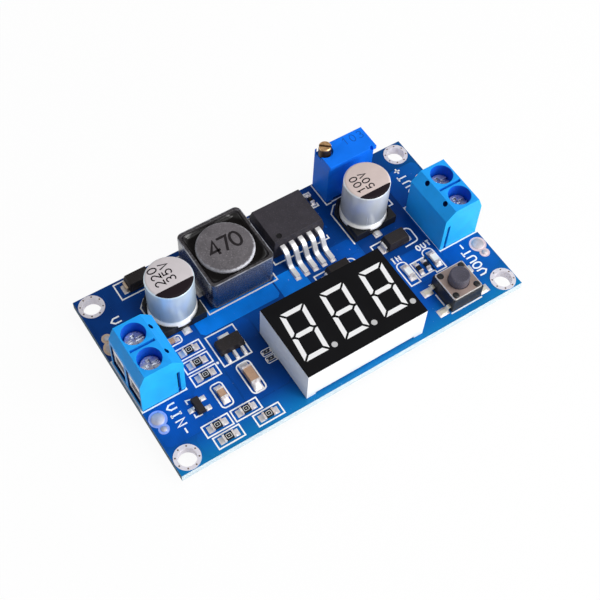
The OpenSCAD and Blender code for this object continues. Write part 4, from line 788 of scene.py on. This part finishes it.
class SwitchSettings(bpy.types.PropertyGroup):
    cover: tint("Cover", "Stamped steel plate", (0.5, 0.38, 0.34))
    # The bright edge colour is a painted highlight.
    edge: tint("Cover edges", "Bright edges of the steel plate", (0.95, 0.92, 0.9))
    button: tint("Button", "Dark plastic of the button", (0.07, 0.066, 0.09))


class StageSettings(bpy.types.PropertyGroup):
    floor: tint("Floor", "Pale floor under the board", (0.9, 0.9, 0.9))
    key: power("Key light", "Power of the large lamp low in front on the right", 2.95)
    top: power("Top light", "Power of the soft lamp overhead", 1.05)
    ambient: FloatProperty(name="Ambient", description="Brightness of the room", default=0.36, min=0)


# Prints on the board

def round_box(x0, y0, x1, y1, right_only=False, r=0.7):
    """Rectangle with all its corners, or only the right ones, turned on one radius."""
    return box_outline(x0, y0, x1, y1, (0, r, r, 0) if right_only else (r, r, r, r))


def outline_paths():
    """Printed outlines of the parts: closed loops and open lines, each with its share of the line width."""
    resistors = [middle(box) for box in islands("resistor_bodies")]
    loops = [box_outline(x - 2.33, y - 1.05, x + 2.33, y + 1.05) for x, y, _ in resistors if x < 20]
    small = [box_outline(x - 0.85, y - 0.58, x + 0.85, y + 0.58, (0.3, 0, 0, 0.3)) for x, y, _ in resistors
             if 20 < x < 24]
    loops += [box_outline(0.15, 12.4, 8.0, 22.9), box_outline(58.0, 12.45, 65.85, 23.16),
              box_outline(15.1, 12.65, 20.2, 18.8), box_outline(51.95, 9.85, 54.95, 12.95)]
    loops += [round_box(16.5, 5.95, 19.0, 11.85), round_box(11.15, 6.35, 13.2, 10.85, r=0.6),
              round_box(8.2, 20.25, 11.85, 21.7, True, 0.5), round_box(7.2, 32.2, 15.1, 35.45, True, 1.0),
              round_box(36.6, 16.0, 44.5, 19.4, True, 1.0), arc(14.5, 13.85, 0.12, 0.12, 0, 315, 8)]
    loops += [box_outline(x0, y0, x1, y1, (0, 0, 0.8, 0.8)) for x0, y0, x1, y1 in
              ((49.6, 9.25, 51.5, 14.1), (54.95, 9.3, 57.0, 14.1))]
    lines = [
        [(18.0, 25.6), (18.0, 22.25), (31.15, 22.25), (31.15, 23.8)],
        [(18.5, 33.4), (18.5, 34.85), (31.15, 34.85), (31.15, 33.4)],
        [(32.4, 25.6), (32.4, 24.85), (43.2, 24.75), (43.2, 25.5)],
        [(32.4, 33.2), (32.4, 34.3), (33.2, 34.3)], [(43.2, 33.2), (43.2, 34.3), (42.4, 34.3)],
        [(46.75, 35.8), (46.75, 30.8), (47.8, 30.8)], [(56.75, 35.8), (56.75, 30.8), (55.7, 30.8)],
        [(47.9, 30.95), (55.6, 30.95)],
        [(52.1, 1.4), (58.5, 1.4)], [(52.1, 7.8), (58.5, 7.8)],
        [(52.05, 3.3), (52.05, 5.8)], [(58.55, 3.3), (58.55, 5.8)],
        [(44.4, 32.2), (44.4, 31.45), (45.5, 31.45), (45.5, 32.2)],
        [(44.4, 34.0), (44.4, 34.75), (45.5, 34.75), (45.5, 34.0)],
        [(6.78, 9.95), (6.78, 10.68), (7.6, 10.5)], [(6.78, 8.0), (6.75, 7.36), (7.95, 7.32)],
        [(56.75, 26.1), (56.78, 24.88), (55.65, 24.85)],
        np.concatenate([[(48.25, 18.55), (48.25, 19.42), (55.4, 19.5)],
                        arc(55.4, 18.6, 0.85, 0.9, 75, 0, 5),
                        arc(55.65, 16.9, 0.55, 0.57, 0, -90, 5), [(53.4, 16.25)]]),
        [(9.0, 22.2), (9.0, 29.3), (10.35, 30.65), (12.3, 30.65)],
        [(14.3, 30.65), (16.25, 30.65), (17.6, 29.3)],
        [(46.3, 21.3), (46.3, 28.7), (47.7, 30.1), (49.8, 30.1)],
        [(51.8, 30.1), (53.9, 30.1), (55.3, 28.7), (55.3, 26.2)]]
    return [(loop, True, 1.0) for loop in loops] + [(loop, True, 0.55) for loop in small] + [
        (line, False, 1.0) for line in lines]


def word_paths():
    """Words on the board: what goes in and out, and which way round."""
    words = (
        ("VIN-", (3.62, 11.4), -90, 1.55, 1.56), ("VIN+", (3.6, 29.8), -90, 1.65, 1.56),
        ("VOUT-", (62.5, 4.87), 90, 1.65, 1.46), ("VOUT+", (62.48, 23.28), 90, 1.65, 1.66),
        ("IN", (49.6, 14.45), 0, 1.0, 1.0), ("OUT", (54.8, 14.45), 0, 1.0, 1.06))
    return [path for word in words for path in lettering(*word)]


# Copper fields: the deep ones carry painted shadow of the tall parts over the copper, the bright ones
# painted light; the plain ones hold the copper's own tone.
FIELDS = {
    "deep": (
        (4.9, 23.3, 18.3, 35.6), (0.4, 23.3, 4.6, 31.2), (18.6, 23.2, 31.4, 35.6),
        (31.7, 23.2, 43.9, 35.6), (44.2, 23.2, 46.4, 30.5), (44.2, 30.8, 61.2, 35.6),
        (46.7, 15.2, 57.6, 30.5)),
    "plain": (
        (0.4, 5.0, 8.1, 12.0), (4.9, 0.4, 22.9, 4.7), (8.4, 5.0, 14.6, 11.6), (8.4, 11.9, 14.6, 22.9),
        (35.9, 15.2, 46.2, 19.7), (35.9, 20.0, 46.2, 22.9), (57.9, 12.6, 65.6, 30.9),
        (46.1, 0.4, 57.6, 8.6), (57.9, 0.4, 61.2, 4.8), (57.9, 5.1, 65.6, 12.3),
        (46.1, 8.9, 57.6, 14.9), (23.2, 0.4, 45.8, 14.9), (14.9, 5.0, 22.9, 18.9)),
    "bright": ((14.9, 19.2, 30.0, 22.9), (30.3, 15.2, 35.6, 22.9)),
}
UNDER = ((0.4, 5.0, 20.0, 31.2), (4.9, 0.4, 61.2, 4.7), (20.4, 5.0, 44.0, 31.2), (44.4, 5.0, 65.6, 31.2),
         (4.9, 31.5, 61.2, 35.6))
TRACKS = (
    [(14.75, 8.0), (13.6, 8.0), (12.8, 12.3)], [(20.0, 4.0), (20.0, 5.6)], [(30.1, 20.8), (30.9, 20.8)],
    [(22.0, 18.6), (22.0, 19.6)], [(8.1, 6.4), (8.9, 6.4)], [(57.4, 11.0), (58.4, 11.0)],
    [(46.0, 17.4), (47.1, 17.4)], [(50.0, 8.4), (50.0, 9.2)], [(43.6, 27.0), (44.6, 27.0)])


class CONVERTER_OT_board(bpy.types.Operator):
    """Board: mask, copper under it, printed outlines and words, corner rings and vias"""
    bl_idname = "converter.board"
    bl_label = "Board"

    def execute(self, context):
        look = context.scene.converter_board
        painted("circuit_board", mask_finish("solder_mask", look.bare, look.deep, look.sheen_tint, look.cut))
        under = (-BOARD_T - FIELD_Z[1], -BOARD_T - FIELD_Z[0])
        for name, fields in FIELDS.items():
            colour = getattr(look, name)
            covered = mask_finish(f"{name}_mask", colour, colour, look.sheen_tint, look.cut)
            copper = join(slab(box_outline(*field, FIELD_CUTS, 2), *FIELD_Z) for field in fields)
            piece(f"{name}_copper_fields", copper, covered)
            if name == "plain":
                tracks = join(ribbon(track, TRACK_WIDTH, *TRACK_Z) for track in TRACKS)
                piece("copper_tracks", tracks, covered)
                copper = join(slab(box_outline(*field, FIELD_CUTS, 2), *under) for field in UNDER)
                piece("copper_fields_below", copper, covered)

        ink = glossy_print("white_print", look.ink, 0.55)
        line = look.line / MM
        outlines = join(ribbon(path, line * share, *OUTLINE_Z, closed)
                        for path, closed, share in outline_paths())
        piece("printed_outlines", outlines, ink)
        words = join(ribbon(path, line * WORD_SHARE, *WORD_Z) for path in word_paths())
        piece("printed_words", words, ink)

        ring = plated("ring_tin", look.ring, 0.42, grain=0.3, depth=0.012, dull=0.85, metallic=0.3)
        rounded("mounting_hole_plating", ring)
        rims = (look.flux, look.tarnish, look.sheen)
        rounded("wire_pads", pad_finish("pad_tin", look.pad, rims, PAD_LEVEL))
        # Dark discs on the corner rings stand for the via holes as painted shade.
        turns = [VIA_OUT * np.array([np.cos(a), np.sin(a)]) for a in np.radians(np.arange(8) * 45 + 20)]
        places = [middle(box)[:2] + turn for box in islands("mounting_hole_plating") for turn in turns]
        vias = join(slab(arc(*place, VIA_RADIUS, VIA_RADIUS, 0, 315, 8), *VIA_Z) for place in places)
        piece("ring_vias", vias, moulded("via_shadow", VIA_BROWN, 0.5))
        return {"FINISHED"}


# Solder

def fillet(end, pad):
    """Solder at a chip's end. With u from the end's face out to the pad's edge and v across, the height is
    the wetted share of the end's times (1 - u) squared, less a share that grows with v to the fourth towards
    the sides, and the width grows to the pad's."""
    (elo, ehi), (plo, phi) = end, pad
    gap = (plo + phi - elo - ehi)[:2]
    axis = int(abs(gap[1]) > abs(gap[0]))
    sign = math.copysign(1, gap[axis])
    face = ehi[axis] if sign > 0 else elo[axis]
    reach = (phi[axis] if sign > 0 else plo[axis]) - face
    u, v = np.meshgrid(np.linspace(0, 1, 9), np.linspace(-1, 1, 9), indexing="ij")
    half_end = (ehi[1 - axis] - elo[1 - axis]) / 2 * END_COVER
    half_pad = (phi[1 - axis] - plo[1 - axis]) / 2 * PAD_SIDE_COVER
    across = v * (half_end + (half_pad - half_end) * u)
    top = phi[2] + SINK + (ehi[2] - phi[2]) * WETTED * (1 - u) ** 2 * (1 - SIDE_DROP * v ** 4)
    flat = [None, None]
    flat[axis] = face - sign * SINK + reach * PAD_COVER * u
    flat[1 - axis] = middle(end)[1 - axis] + across
    return raised(flat, top, phi[2] - SINK)


def mound(pad, height):
    """Solder on a pad: the height times (1 - u to the fourth)(1 - v to the fourth) over the pad's box."""
    lo, hi = pad
    u, v = np.meshgrid(np.linspace(-1, 1, 9), np.linspace(-1, 1, 9), indexing="ij")
    (x, y, _), half = middle(pad), (hi - lo) / 2 * PAD_COVER
    flat = [x + u * half[0], y + v * half[1]]
    top = hi[2] + height * (1 - u ** 4) * (1 - v ** 4)
    return raised(flat, top, hi[2] - SINK)


class CONVERTER_OT_solder(bpy.types.Operator):
    """Pads and solder: fillets at the chips' ends, mounds round the leads and cones under the board"""
    bl_idname = "converter.solder"
    bl_label = "Solder"

    def execute(self, context):
        look = context.scene.converter_board
        ends, display = islands("chip_terminals"), box_mm("display_case")
        fillets, mounds = [], []
        for pad in islands("solder_pads"):
            held = [end for end in ends if within(middle(end), pad)]
            if held and (held[0][1] - held[0][0]).max() < TINY_END:
                continue
            if held:
                fillets.append(fillet(held[0], pad))
            elif not within(middle(pad), display):
                mounds.append(mound(pad, MOUND_HEIGHT))
        bright = plated("solder", look.solder, 0.36, grain=0.5, depth=0.03, dull=0.6, metallic=0.5,
                        patch=0.7)
        piece("chip_fillets", join(fillets), bright, smooth=50)
        piece("lead_mounds", join(mounds), bright, smooth=50)
        painted("solder_pads", plated("tinned_pad", look.solder, 0.4, metallic=0.5, patch=0.8))
        rounded("solder_joints", bright)
        tinned = end_finish("chip_end_tin", look.tin, FLUX_BROWN, DARK_END, SMALL_CHIPS)
        rounded("chip_terminals", tinned, edge=0.05)
        return {"FINISHED"}


class CONVERTER_OT_terminals(bpy.types.Operator):
    """Screw terminals: housings, clamp screws, cages and contact strips"""
    bl_idname = "converter.terminals"
    bl_label = "Screw terminals"

    def execute(self, context):
        look = context.scene.converter_terminals
        screws = [box_mm(f"{pole}_screw") for pole in POLES]
        ends = [corner[1] for corner in box_mm("input_terminal_housing")]
        bore = (screws[0][1] - screws[0][0])[0] / 2 + BORE_ROOM
        plastic = housing_finish("sky_blue_plastic", look.plastic, look.sheen_tint, look.deep,
                                 [middle(screw)[:2] for screw in screws], bore, ends)
        screw = plated("zinc_plate", look.screw, 0.24, grain=0.9, depth=0.09, dull=0.55, metallic=0.9,
                       patch=0.8)
        cage = plated("cage_tin", look.cage, 0.34, grain=0.3, dull=0.85, stretch=(1, 1, 0.2))
        for side in ("input", "output"):
            rounded(f"{side}_terminal_housing", plastic, edge=look.edge / MM)
            painted(f"{side}_terminal_contacts", cage)
        for pole in POLES:
            rounded(f"{pole}_screw", screw, edge=0.06)
            rounded(f"{pole}_cage", cage, edge=0.07)
        return {"FINISHED"}


class CONVERTER_OT_display(bpy.types.Operator):
    """Digit display: case, face, segments, and what lies under it"""
    bl_idname = "converter.display"
    bl_label = "Display"

    def execute(self, context):
        look = context.scene.converter_display
        case = moulded("white_plastic", look.case, 0.4, specular=0.3, drift=0.03)
        rounded("display_case", case, edge=0.08)
        film = moulded("black_film", look.face, 0.5, specular=0.1, drift=0.2, grain=0.05, depth=0.002)
        painted("display_face", film)
        points = [middle(box)[:2] for box in islands("display_segments")
                  if (box[1] - box[0])[:2].max() / 2 < POINT_HALF]
        painted("display_segments", segment_finish("milky_resin", look.segment, points, POINT_HALF))
        painted("display_carrier", speckled("bare_fibre_board", FIBRE, FIBRE_FLECK, 0.5))
        tin = plated("pin_tin", context.scene.converter_board.tin, 0.3)
        for node in ("display_pins", "meter_controller_leads"):
            painted(node, tin)
        painted("meter_controller", speckled("chip_resin", CHIP_RESIN, CHIP_FLECK, 0.55))
        return {"FINISHED"}


def resin_ring(centre, inner, outer, floor, low, rim):
    """Glue round the core: rings from the core's circle out to a squared circle, whose radius is the half
    width divided by the tenth root of the sum of cosine and sine to the tenth. The height is the low level,
    and climbs to the rim at the wall, more gently in the corners, and a little at the core, by exponentials
    of the distance to each, with a slight wave between them."""
    angle, way = turns_and_steps(144, 17)
    far = outer / (np.cos(angle) ** 10 + np.sin(angle) ** 10) ** 0.1
    radius = inner + (far - inner) * way
    reach = 0.26 + 0.5 * (far / outer - 1)
    z = low + (rim - low) * np.exp((radius - far) / reach) + 0.1 * np.exp((inner - radius) / 0.2)
    z = np.minimum(z + 0.03 * np.sin(5 * angle + 1) * way * (1 - way), rim)
    flat = [centre[0] + radius * np.cos(angle), centre[1] + radius * np.sin(angle)]
    return raised(flat, z, floor, True)


def glue_finish(name, colour, dusty, centre, low, rim, clear):
    """Dark glue: black and rippled where it lies deep, with a wet gloss out in the corners beyond a clear
    distance from the middle, dusty and rough where it thins out up the wall."""
    f = Finish(name, Specular_IOR_Level=0.12, Coat_IOR=1.9, Coat_Roughness=0.08)
    _, _, z = f.place()
    corner = f.between(f.squared(centre), clear ** 2, (clear + 0.45) ** 2)
    ripple, fine = f.noise(0.8), f.noise(0.3, 3.0)
    up = f.between(z + fine * 0.2, low + 0.44, rim + 0.06)
    thinned = f.shades(f.between(fine, 0.4, 0.62), dusty, 0.5, 1.0)
    return f.done(f.mix(up, f.shades(ripple, colour, 0.4, 1.2), thinned), ripple * 0.12 + up * 0.5 + 0.1,
                  ripple * 0.7 + fine * 0.3, 0.09, 0.7,
                  Coat_Weight=corner * (1 - up) * (ripple * 0.5 + 0.2))


def core_finish(name, colour, wear_and_sheen, centre, radius):
    """Ground ferrite: grey with dark and light flecks, its rim scuffed lighter, and a painted highlight that
    makes it lightest at the front right.
    """
    f = Finish(name, Specular_IOR_Level=0.35)
    x, y, _ = f.place()
    slow, fine = f.patches(2.2), f.patches(0.34, 0.25, 0.75, 4.0)
    ground = f.mix(f.patches(0.26, 0.6, 0.74), f.shades(slow * 0.4 + fine * 0.6, colour, 0.62, 1.3),
                   tone(colour, 2.0))
    rim = f.between(f.squared(centre).root() + fine * 0.3, radius - 0.24, radius + 0.12) * 0.8
    # Painted highlight: the rim lightens most towards the front right, where the key lamp stands.
    towards_key_lamp = (x - centre[0]) * 0.44 - (y - centre[1]) * 0.9
    front = f.between(towards_key_lamp, radius * 0.55, radius * 0.85) * rim
    return f.done(f.mix(front, f.mix(rim, ground, wear_and_sheen), tone(wear_and_sheen, 2.0)), fine * 0.24 - rim * 0.15 + 0.33,
                  fine, 0.014, 0.8)


class CONVERTER_OT_inductor(bpy.types.Operator):
    """Inductor: shield, core with its value, glue, winding and terminals"""
    bl_idname = "converter.inductor"
    bl_label = "Inductor"

    def execute(self, context):
        look = context.scene.converter_inductor
        lo, hi = box_mm("inductor_shield")
        core_lo, core_hi = box_mm("inductor_core")
        centre, top, radius = (lo + hi) / 2, hi[2], (core_hi - core_lo)[0] / 2
        shield = shield_finish("glazed_ferrite", look.shield, look.dust, look.wear_and_sheen, lo, hi)
        rounded("inductor_shield", shield, edge=0.12)
        rounded("inductor_core", core_finish("ground_ferrite", look.core, look.scuffed_and_highlit, centre, radius))
        painted("inductor_winding", plated("enamelled_copper", COPPER, 0.3))
        rounded("inductor_terminals", plated("tab_tin", context.scene.converter_board.tin, 0.3), edge=0.04)
        low, rim, outer = top - GLUE_LOW, top - GLUE_RIM, (hi - lo)[0] / 2 - GLUE_WALL
        ring = resin_ring(centre, radius - SINK, outer, top - GLUE_FLOOR, low, rim)
        glue = glue_finish("dark_glue", look.resin, look.dust, centre, low, rim, radius + GLUE_CLEAR)
        piece("inductor_glue", ring, glue, smooth=60)
        ink = glossy_print("core_print", CORE_INK, 0.6)
        digits = lettering("470", centre[:2] + (-2.7, -1.0), reading=0, height=2.8, step=2.03)
        printed("inductor_value", digits, ink, core_hi[2], width=0.46, height=0.012)
        return {"FINISHED"}


class CONVERTER_OT_packages(bpy.types.Operator):
    """Moulded packages: regulator, diodes, logic supply and transistor, with their leads"""
    bl_idname = "converter.packages"
    bl_label = "Moulded packages"

    def execute(self, context):
        look = context.scene.converter_packages
        tin = context.scene.converter_board.tin
        lo, _ = box_mm("regulator_body")
        mark = (*(lo[:2] + PIN_MARK), PIN_MARK_RADIUS)
        resin = speckled("moulding_resin", look.resin, tone(look.resin, 1.6), 0.55, pit=mark)
        brown = speckled("diode_resin", look.diode, tone(look.diode, 2.0), 0.5)
        lead = plated("lead_tin", tin, 0.4, depth=0.008, dull=0.88, metallic=0.6)
        tan = plated("tarnished_lead", TARNISHED, 0.4, depth=0.008, dull=0.7, metallic=0.6)
        rounded("regulator_body", resin, edge=0.08, flat=True)
        rounded("regulator_leads", lead, edge=0.05)
        painted("regulator_tab", lead)
        for name in ("input_diode", "rectifier", "output_diode"):
            rounded(f"{name}_body", brown, edge=0.06)
            rounded(f"{name}_leads", tan if name == "input_diode" else lead, edge=0.04)
        for name in ("logic_regulator", "transistor"):
            rounded(f"{name}_body", brown, edge=0.05)
            rounded(f"{name}_leads", lead, edge=0.03)
        return {"FINISHED"}


class CONVERTER_OT_capacitors(bpy.types.Operator):
    """Can capacitors: cans, bases, tabs, and their printed minus side and values"""
    bl_idname = "converter.capacitors"
    bl_label = "Can capacitors"

    def execute(self, context):
        look = context.scene.converter_capacitors
        base = moulded("base_plastic", CAN_BASE, 0.45)
        tab = plated("tab_plate", context.scene.converter_board.tin, 0.4, metallic=0.55)
        ink = glossy_print("can_print", look.ink, 0.5)
        marks = {"input": (("220", "35v"), -1.8, (-1.8, -0.92), 1.95, 1.5, 1.37),
                 "output": (("100", "50v"), -2.36, (-2.03, -1.7), 1.75, 1.35, 1.27)}
        for side, (lines, chord, first, spacing, height, step) in marks.items():
            lo, hi = box_mm(f"{side}_capacitor_can")
            centre, top = (lo + hi) / 2, hi[2]
            side_colour, top_colour = getattr(look, f"{side}_side"), getattr(look, f"{side}_top")
            can = can_finish(f"{side}_can", side_colour, top_colour, look.ink, lo, hi, chord)
            rounded(f"{side}_capacitor_can", can)
            rounded(f"{side}_capacitor_base", base, edge=0.06)
            rounded(f"{side}_capacitor_leads", tab, edge=0.03)
            paths = []
            for row, text in enumerate(lines):
                foot = centre[:2] + first + (height / 2 + spacing * row, 0)
                paths += lettering(text, foot, 90, height, step)
            printed(f"{side}_capacitor_print", paths, ink, top, width=0.22, height=0.008)
        return {"FINISHED"}


def brass_finish(name, colour, level):
    """Turned brass: bright on the head's face, darkened by painted shade below a level, in its slot too."""
    f = Finish(name, Metallic=0.8)
    _, _, z = f.place()
    fine, cloud = f.noise(0.16, 3.0), f.patches(0.6, 0.35, 0.65, 3.0)
    # Painted shade down the head's side and in the slot.
    low = f.between(z + fine * 0.2, level + 0.12, level - 0.12)
    return f.done(f.mix(low, f.shades(cloud, colour, 0.7, 1.15), tone(colour, 0.12)),
                  fine * 0.16 + low * 0.2 + 0.22, fine, 0.01, 0.7)


class CONVERTER_OT_trimmer(bpy.types.Operator):
    """Trimmer: housing with its value, brass screw and pins"""
    bl_idname = "converter.trimmer"
    bl_label = "Trimmer"

    def execute(self, context):
        look = context.scene.converter_trimmer
        plastic = moulded("deep_blue_plastic", look.plastic, 0.42, specular=0.06, drift=0.1, grain=0.2,
                          depth=0.01)
        rounded("trimmer_housing", plastic, edge=0.09)
        _, tip = box_mm("trimmer_screw")
        rounded("trimmer_screw", brass_finish("turned_brass", look.brass, tip[2] - SLOT_DEPTH), edge=0.05)
        _, hi = box_mm("trimmer_housing")
        ink = glossy_print("trimmer_print", look.print, 0.5)
        digits = lettering("103", (51.9, 33.75), reading=0, height=1.5, step=1.5)
        printed("trimmer_value", digits, ink, hi[2], width=0.17, height=0.006)
        painted("trimmer_pins", plated("trimmer_pin_tin", context.scene.converter_board.tin, 0.3))
        return {"FINISHED"}


def cover_finish(name, colour, bright, lo, hi):
    """Stamped steel plate: brownish, brushed one way, with a painted highlight along its four edges."""
    f = Finish(name, Metallic=0.75)
    x, y, _ = f.place()
    (cx, cy, _), (half_x, half_y, _) = ((lo + hi) / 2).tolist(), ((hi - lo) / 2).tolist()
    inset = (half_x - abs(x - cx)) & (half_y - abs(y - cy))
    brushed, cloud = f.noise(0.3, 3.0, (1, 0.1, 1)), f.patches(1.4, 0.32, 0.68, 3.0)
    skin = f.shades(cloud * 0.6 + brushed * 0.4, colour, 0.75, 1.1)
    # Painted highlight along the plate's edges.
    return f.done(f.mix(f.between(inset + brushed * 0.08, 0.2, 0.1), skin, bright), brushed * 0.16 + 0.24,
                  brushed, 0.008, 0.7)


class CONVERTER_OT_switch(bpy.types.Operator):
    """Push switch: base with its pegs, cover plate, dome, button and leads"""
    bl_idname = "converter.switch"
    bl_label = "Push switch"

    def execute(self, context):
        look = context.scene.converter_switch
        rounded("switch_base", moulded("switch_plastic", SWITCH_BASE, 0.4, specular=0.4), edge=0.06)
        cover = cover_finish("cover_steel", look.cover, look.edge, *box_mm("switch_cover"))
        rounded("switch_cover", cover, edge=0.08)
        dome = rounded("switch_dome", plated("dome_steel", STEEL, 0.2))
        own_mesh(dome)
        dark = speckled("button_plastic", look.button, tone(look.button, 1.8), 0.42, specular=0.3)
        rounded("switch_button", dark, edge=0.12)
        rounded("switch_leads", plated("switch_lead_tin", YELLOWED, 0.34, metallic=0.6), edge=0.03)
        return {"FINISHED"}


class CONVERTER_OT_chips(bpy.types.Operator):
    """Chips: resistors with their marks, ceramic capacitors and indicator lights"""
    bl_idname = "converter.chips"
    bl_label = "Chips"

    def execute(self, context):
        look = context.scene.converter_packages
        rounded("resistor_bodies", moulded("black_glaze", look.resistor, 0.4, specular=0.2), edge=0.03)
        tan = speckled("tan_ceramic", look.ceramic, tone(look.ceramic, 0.7), 0.42)
        rounded("ceramic_capacitor_bodies", tan, edge=0.06)
        clear = moulded("clear_resin", look.lens, 0.26, specular=0.3, drift=0.1, grain=0.3)
        rounded("indicator_lights", clear, edge=0.08)
        codes = []
        for lo, hi in islands("resistor_bodies"):
            if (hi - lo)[0] > MARKED_CHIP:
                (x, y, _), levels = (lo + hi) / 2, (hi[2] - SINK, hi[2] + 0.01)
                ring = box_outline(x - 0.42, y - 0.36, x + 0.42, y + 0.36, (0.14,) * 4)
                codes.append(ribbon(ring, 0.1, *levels, True))
                codes.append(ribbon([(x - 0.12, y), (x + 0.12, y)], 0.14, *levels))
        piece("resistor_marks", join(codes), glossy_print("mark_print", MARK_INK, 0.6))
        return {"FINISHED"}


# Stage

def floor_bowl(radius, flat, rise):
    """Floor: rings of points round the middle, level out to the flat radius and then rising with the square
    of the way to the rim."""
    angle, way = turns_and_steps(96, 40)
    out = radius * way
    z = rise * np.clip((out - flat) / (radius - flat), 0, 1) ** 2
    return np.stack([out * np.cos(angle), out * np.sin(angle), z], axis=-1)


def floor_finish(colour):
    """Floor that takes the object's shadow, and shows mostly its own white to eye, gloss and glass."""
    f = Finish("pale_floor", Specular_IOR_Level=0.0, Roughness=0.9)
    eye, gloss, glass = (f.node("ShaderNodeLightPath", output=f"Is {ray} Ray")
                         for ray in ("Camera", "Glossy", "Transmission"))
    f.feed(Base_Color=f.shades(f.noise(4.0), colour, 0.98, 1.02))
    white = f.node("ShaderNodeEmission", None, {"Color": (1, 1, 1, 1), "Strength": 1.0})
    blend = f.node("ShaderNodeMixShader", None, {
        0: (eye | gloss | glass) * 0.94, 1: Value(f, f.shader.outputs[0]), 2: white})
    f.plug(f.tree.nodes["Material Output"].inputs["Surface"], blend)
    return f.material


def lamp(name, place, target, size, power):
    """Square soft lamp at a place in metres, turned to a target."""
    data = bpy.data.lights.new(name, "AREA")
    data.shape, data.size, data.energy = "SQUARE", size, power
    made = linked(name, data)
    made.location, made.visible_camera = place, False
    made.rotation_euler = (Vector(target) - Vector(place)).to_track_quat("-Z", "Y").to_euler()


class CONVERTER_OT_stage(bpy.types.Operator):
    """Stage: floor, room, two soft lamps and the camera"""
    bl_idname = "converter.stage"
    bl_label = "Stage"

    def execute(self, context):
        look = context.scene.converter_stage
        grid = floor_bowl(FLOOR_RADIUS, FLOOR_FLAT, FLOOR_RISE)
        mesh = bpy.data.meshes.new("floor")
        mesh.from_pydata(grid.reshape(-1, 3).tolist(), [], grid_faces(*grid.shape[:2], True).tolist())
        merged(mesh, 1e-6)
        mesh.shade_smooth()
        mesh.materials.append(floor_finish(look.floor))
        floor = linked("floor", mesh)

        world = bpy.data.worlds.new("room")
        world.use_nodes = True
        room = world.node_tree.nodes["Background"]
        room.inputs["Color"].default_value = (1.0, 1.0, 1.0, 1.0)
        room.inputs["Strength"].default_value = look.ambient
        context.scene.world = world
        lamp("key_lamp", KEY_PLACE, AIM, KEY_SIZE, look.key)
        lamp("top_lamp", TOP_PLACE, AIM, TOP_SIZE, look.top)

        camera = bpy.data.cameras.new("camera")
        camera.lens, camera.sensor_width, camera.clip_start = LENS_MM, SENSOR_MM, NEAREST
        stand = linked("camera", camera)
        stand.location, stand.rotation_euler = CAMERA_PLACE, CAMERA_TURN
        context.scene.camera = stand
        context.scene.view_settings.view_transform = "Standard"
        return {"FINISHED"}


OPERATORS = (CONVERTER_OT_board, CONVERTER_OT_solder, CONVERTER_OT_terminals, CONVERTER_OT_display,
             CONVERTER_OT_inductor, CONVERTER_OT_packages, CONVERTER_OT_capacitors, CONVERTER_OT_trimmer,
             CONVERTER_OT_switch, CONVERTER_OT_chips, CONVERTER_OT_stage)
SETTINGS = {"converter_board": BoardSettings, "converter_terminals": TerminalSettings,
            "converter_display": DisplaySettings, "converter_inductor": InductorSettings,
            "converter_packages": PackageSettings, "converter_capacitors": CapacitorSettings,
            "converter_trimmer": TrimmerSettings, "converter_switch": SwitchSettings,
            "converter_stage": StageSettings}


class CONVERTER_PT_pieces(bpy.types.Panel):
    """Lists the steps that dress the board, and their settings"""
    bl_idname = "CONVERTER_PT_pieces"
    bl_label = "Step-up converter board"
    bl_space_type = "VIEW_3D"
    bl_region_type = "UI"
    bl_category = "Converter"

    def draw(self, context):
        for name, group in SETTINGS.items():
            part = self.layout.box()
            for setting in group.__annotations__:
                part.prop(getattr(context.scene, name), setting)
        for operator in OPERATORS:
            self.layout.operator(operator.bl_idname)


def register():
    for group in (*SETTINGS.values(), *OPERATORS, CONVERTER_PT_pieces):
        bpy.utils.register_class(group)
    for name, group in SETTINGS.items():
        setattr(bpy.types.Scene, name, PointerProperty(type=group))


def unregister():
    for name in SETTINGS:
        delattr(bpy.types.Scene, name)
    for group in reversed((*SETTINGS.values(), *OPERATORS, CONVERTER_PT_pieces)):
        bpy.utils.unregister_class(group)


def main():
    """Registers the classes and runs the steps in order."""
    register()
    for operator in OPERATORS:
        space, call = operator.bl_idname.split(".")
        getattr(getattr(bpy.ops, space), call)()


if __name__ == "__main__":
    main()
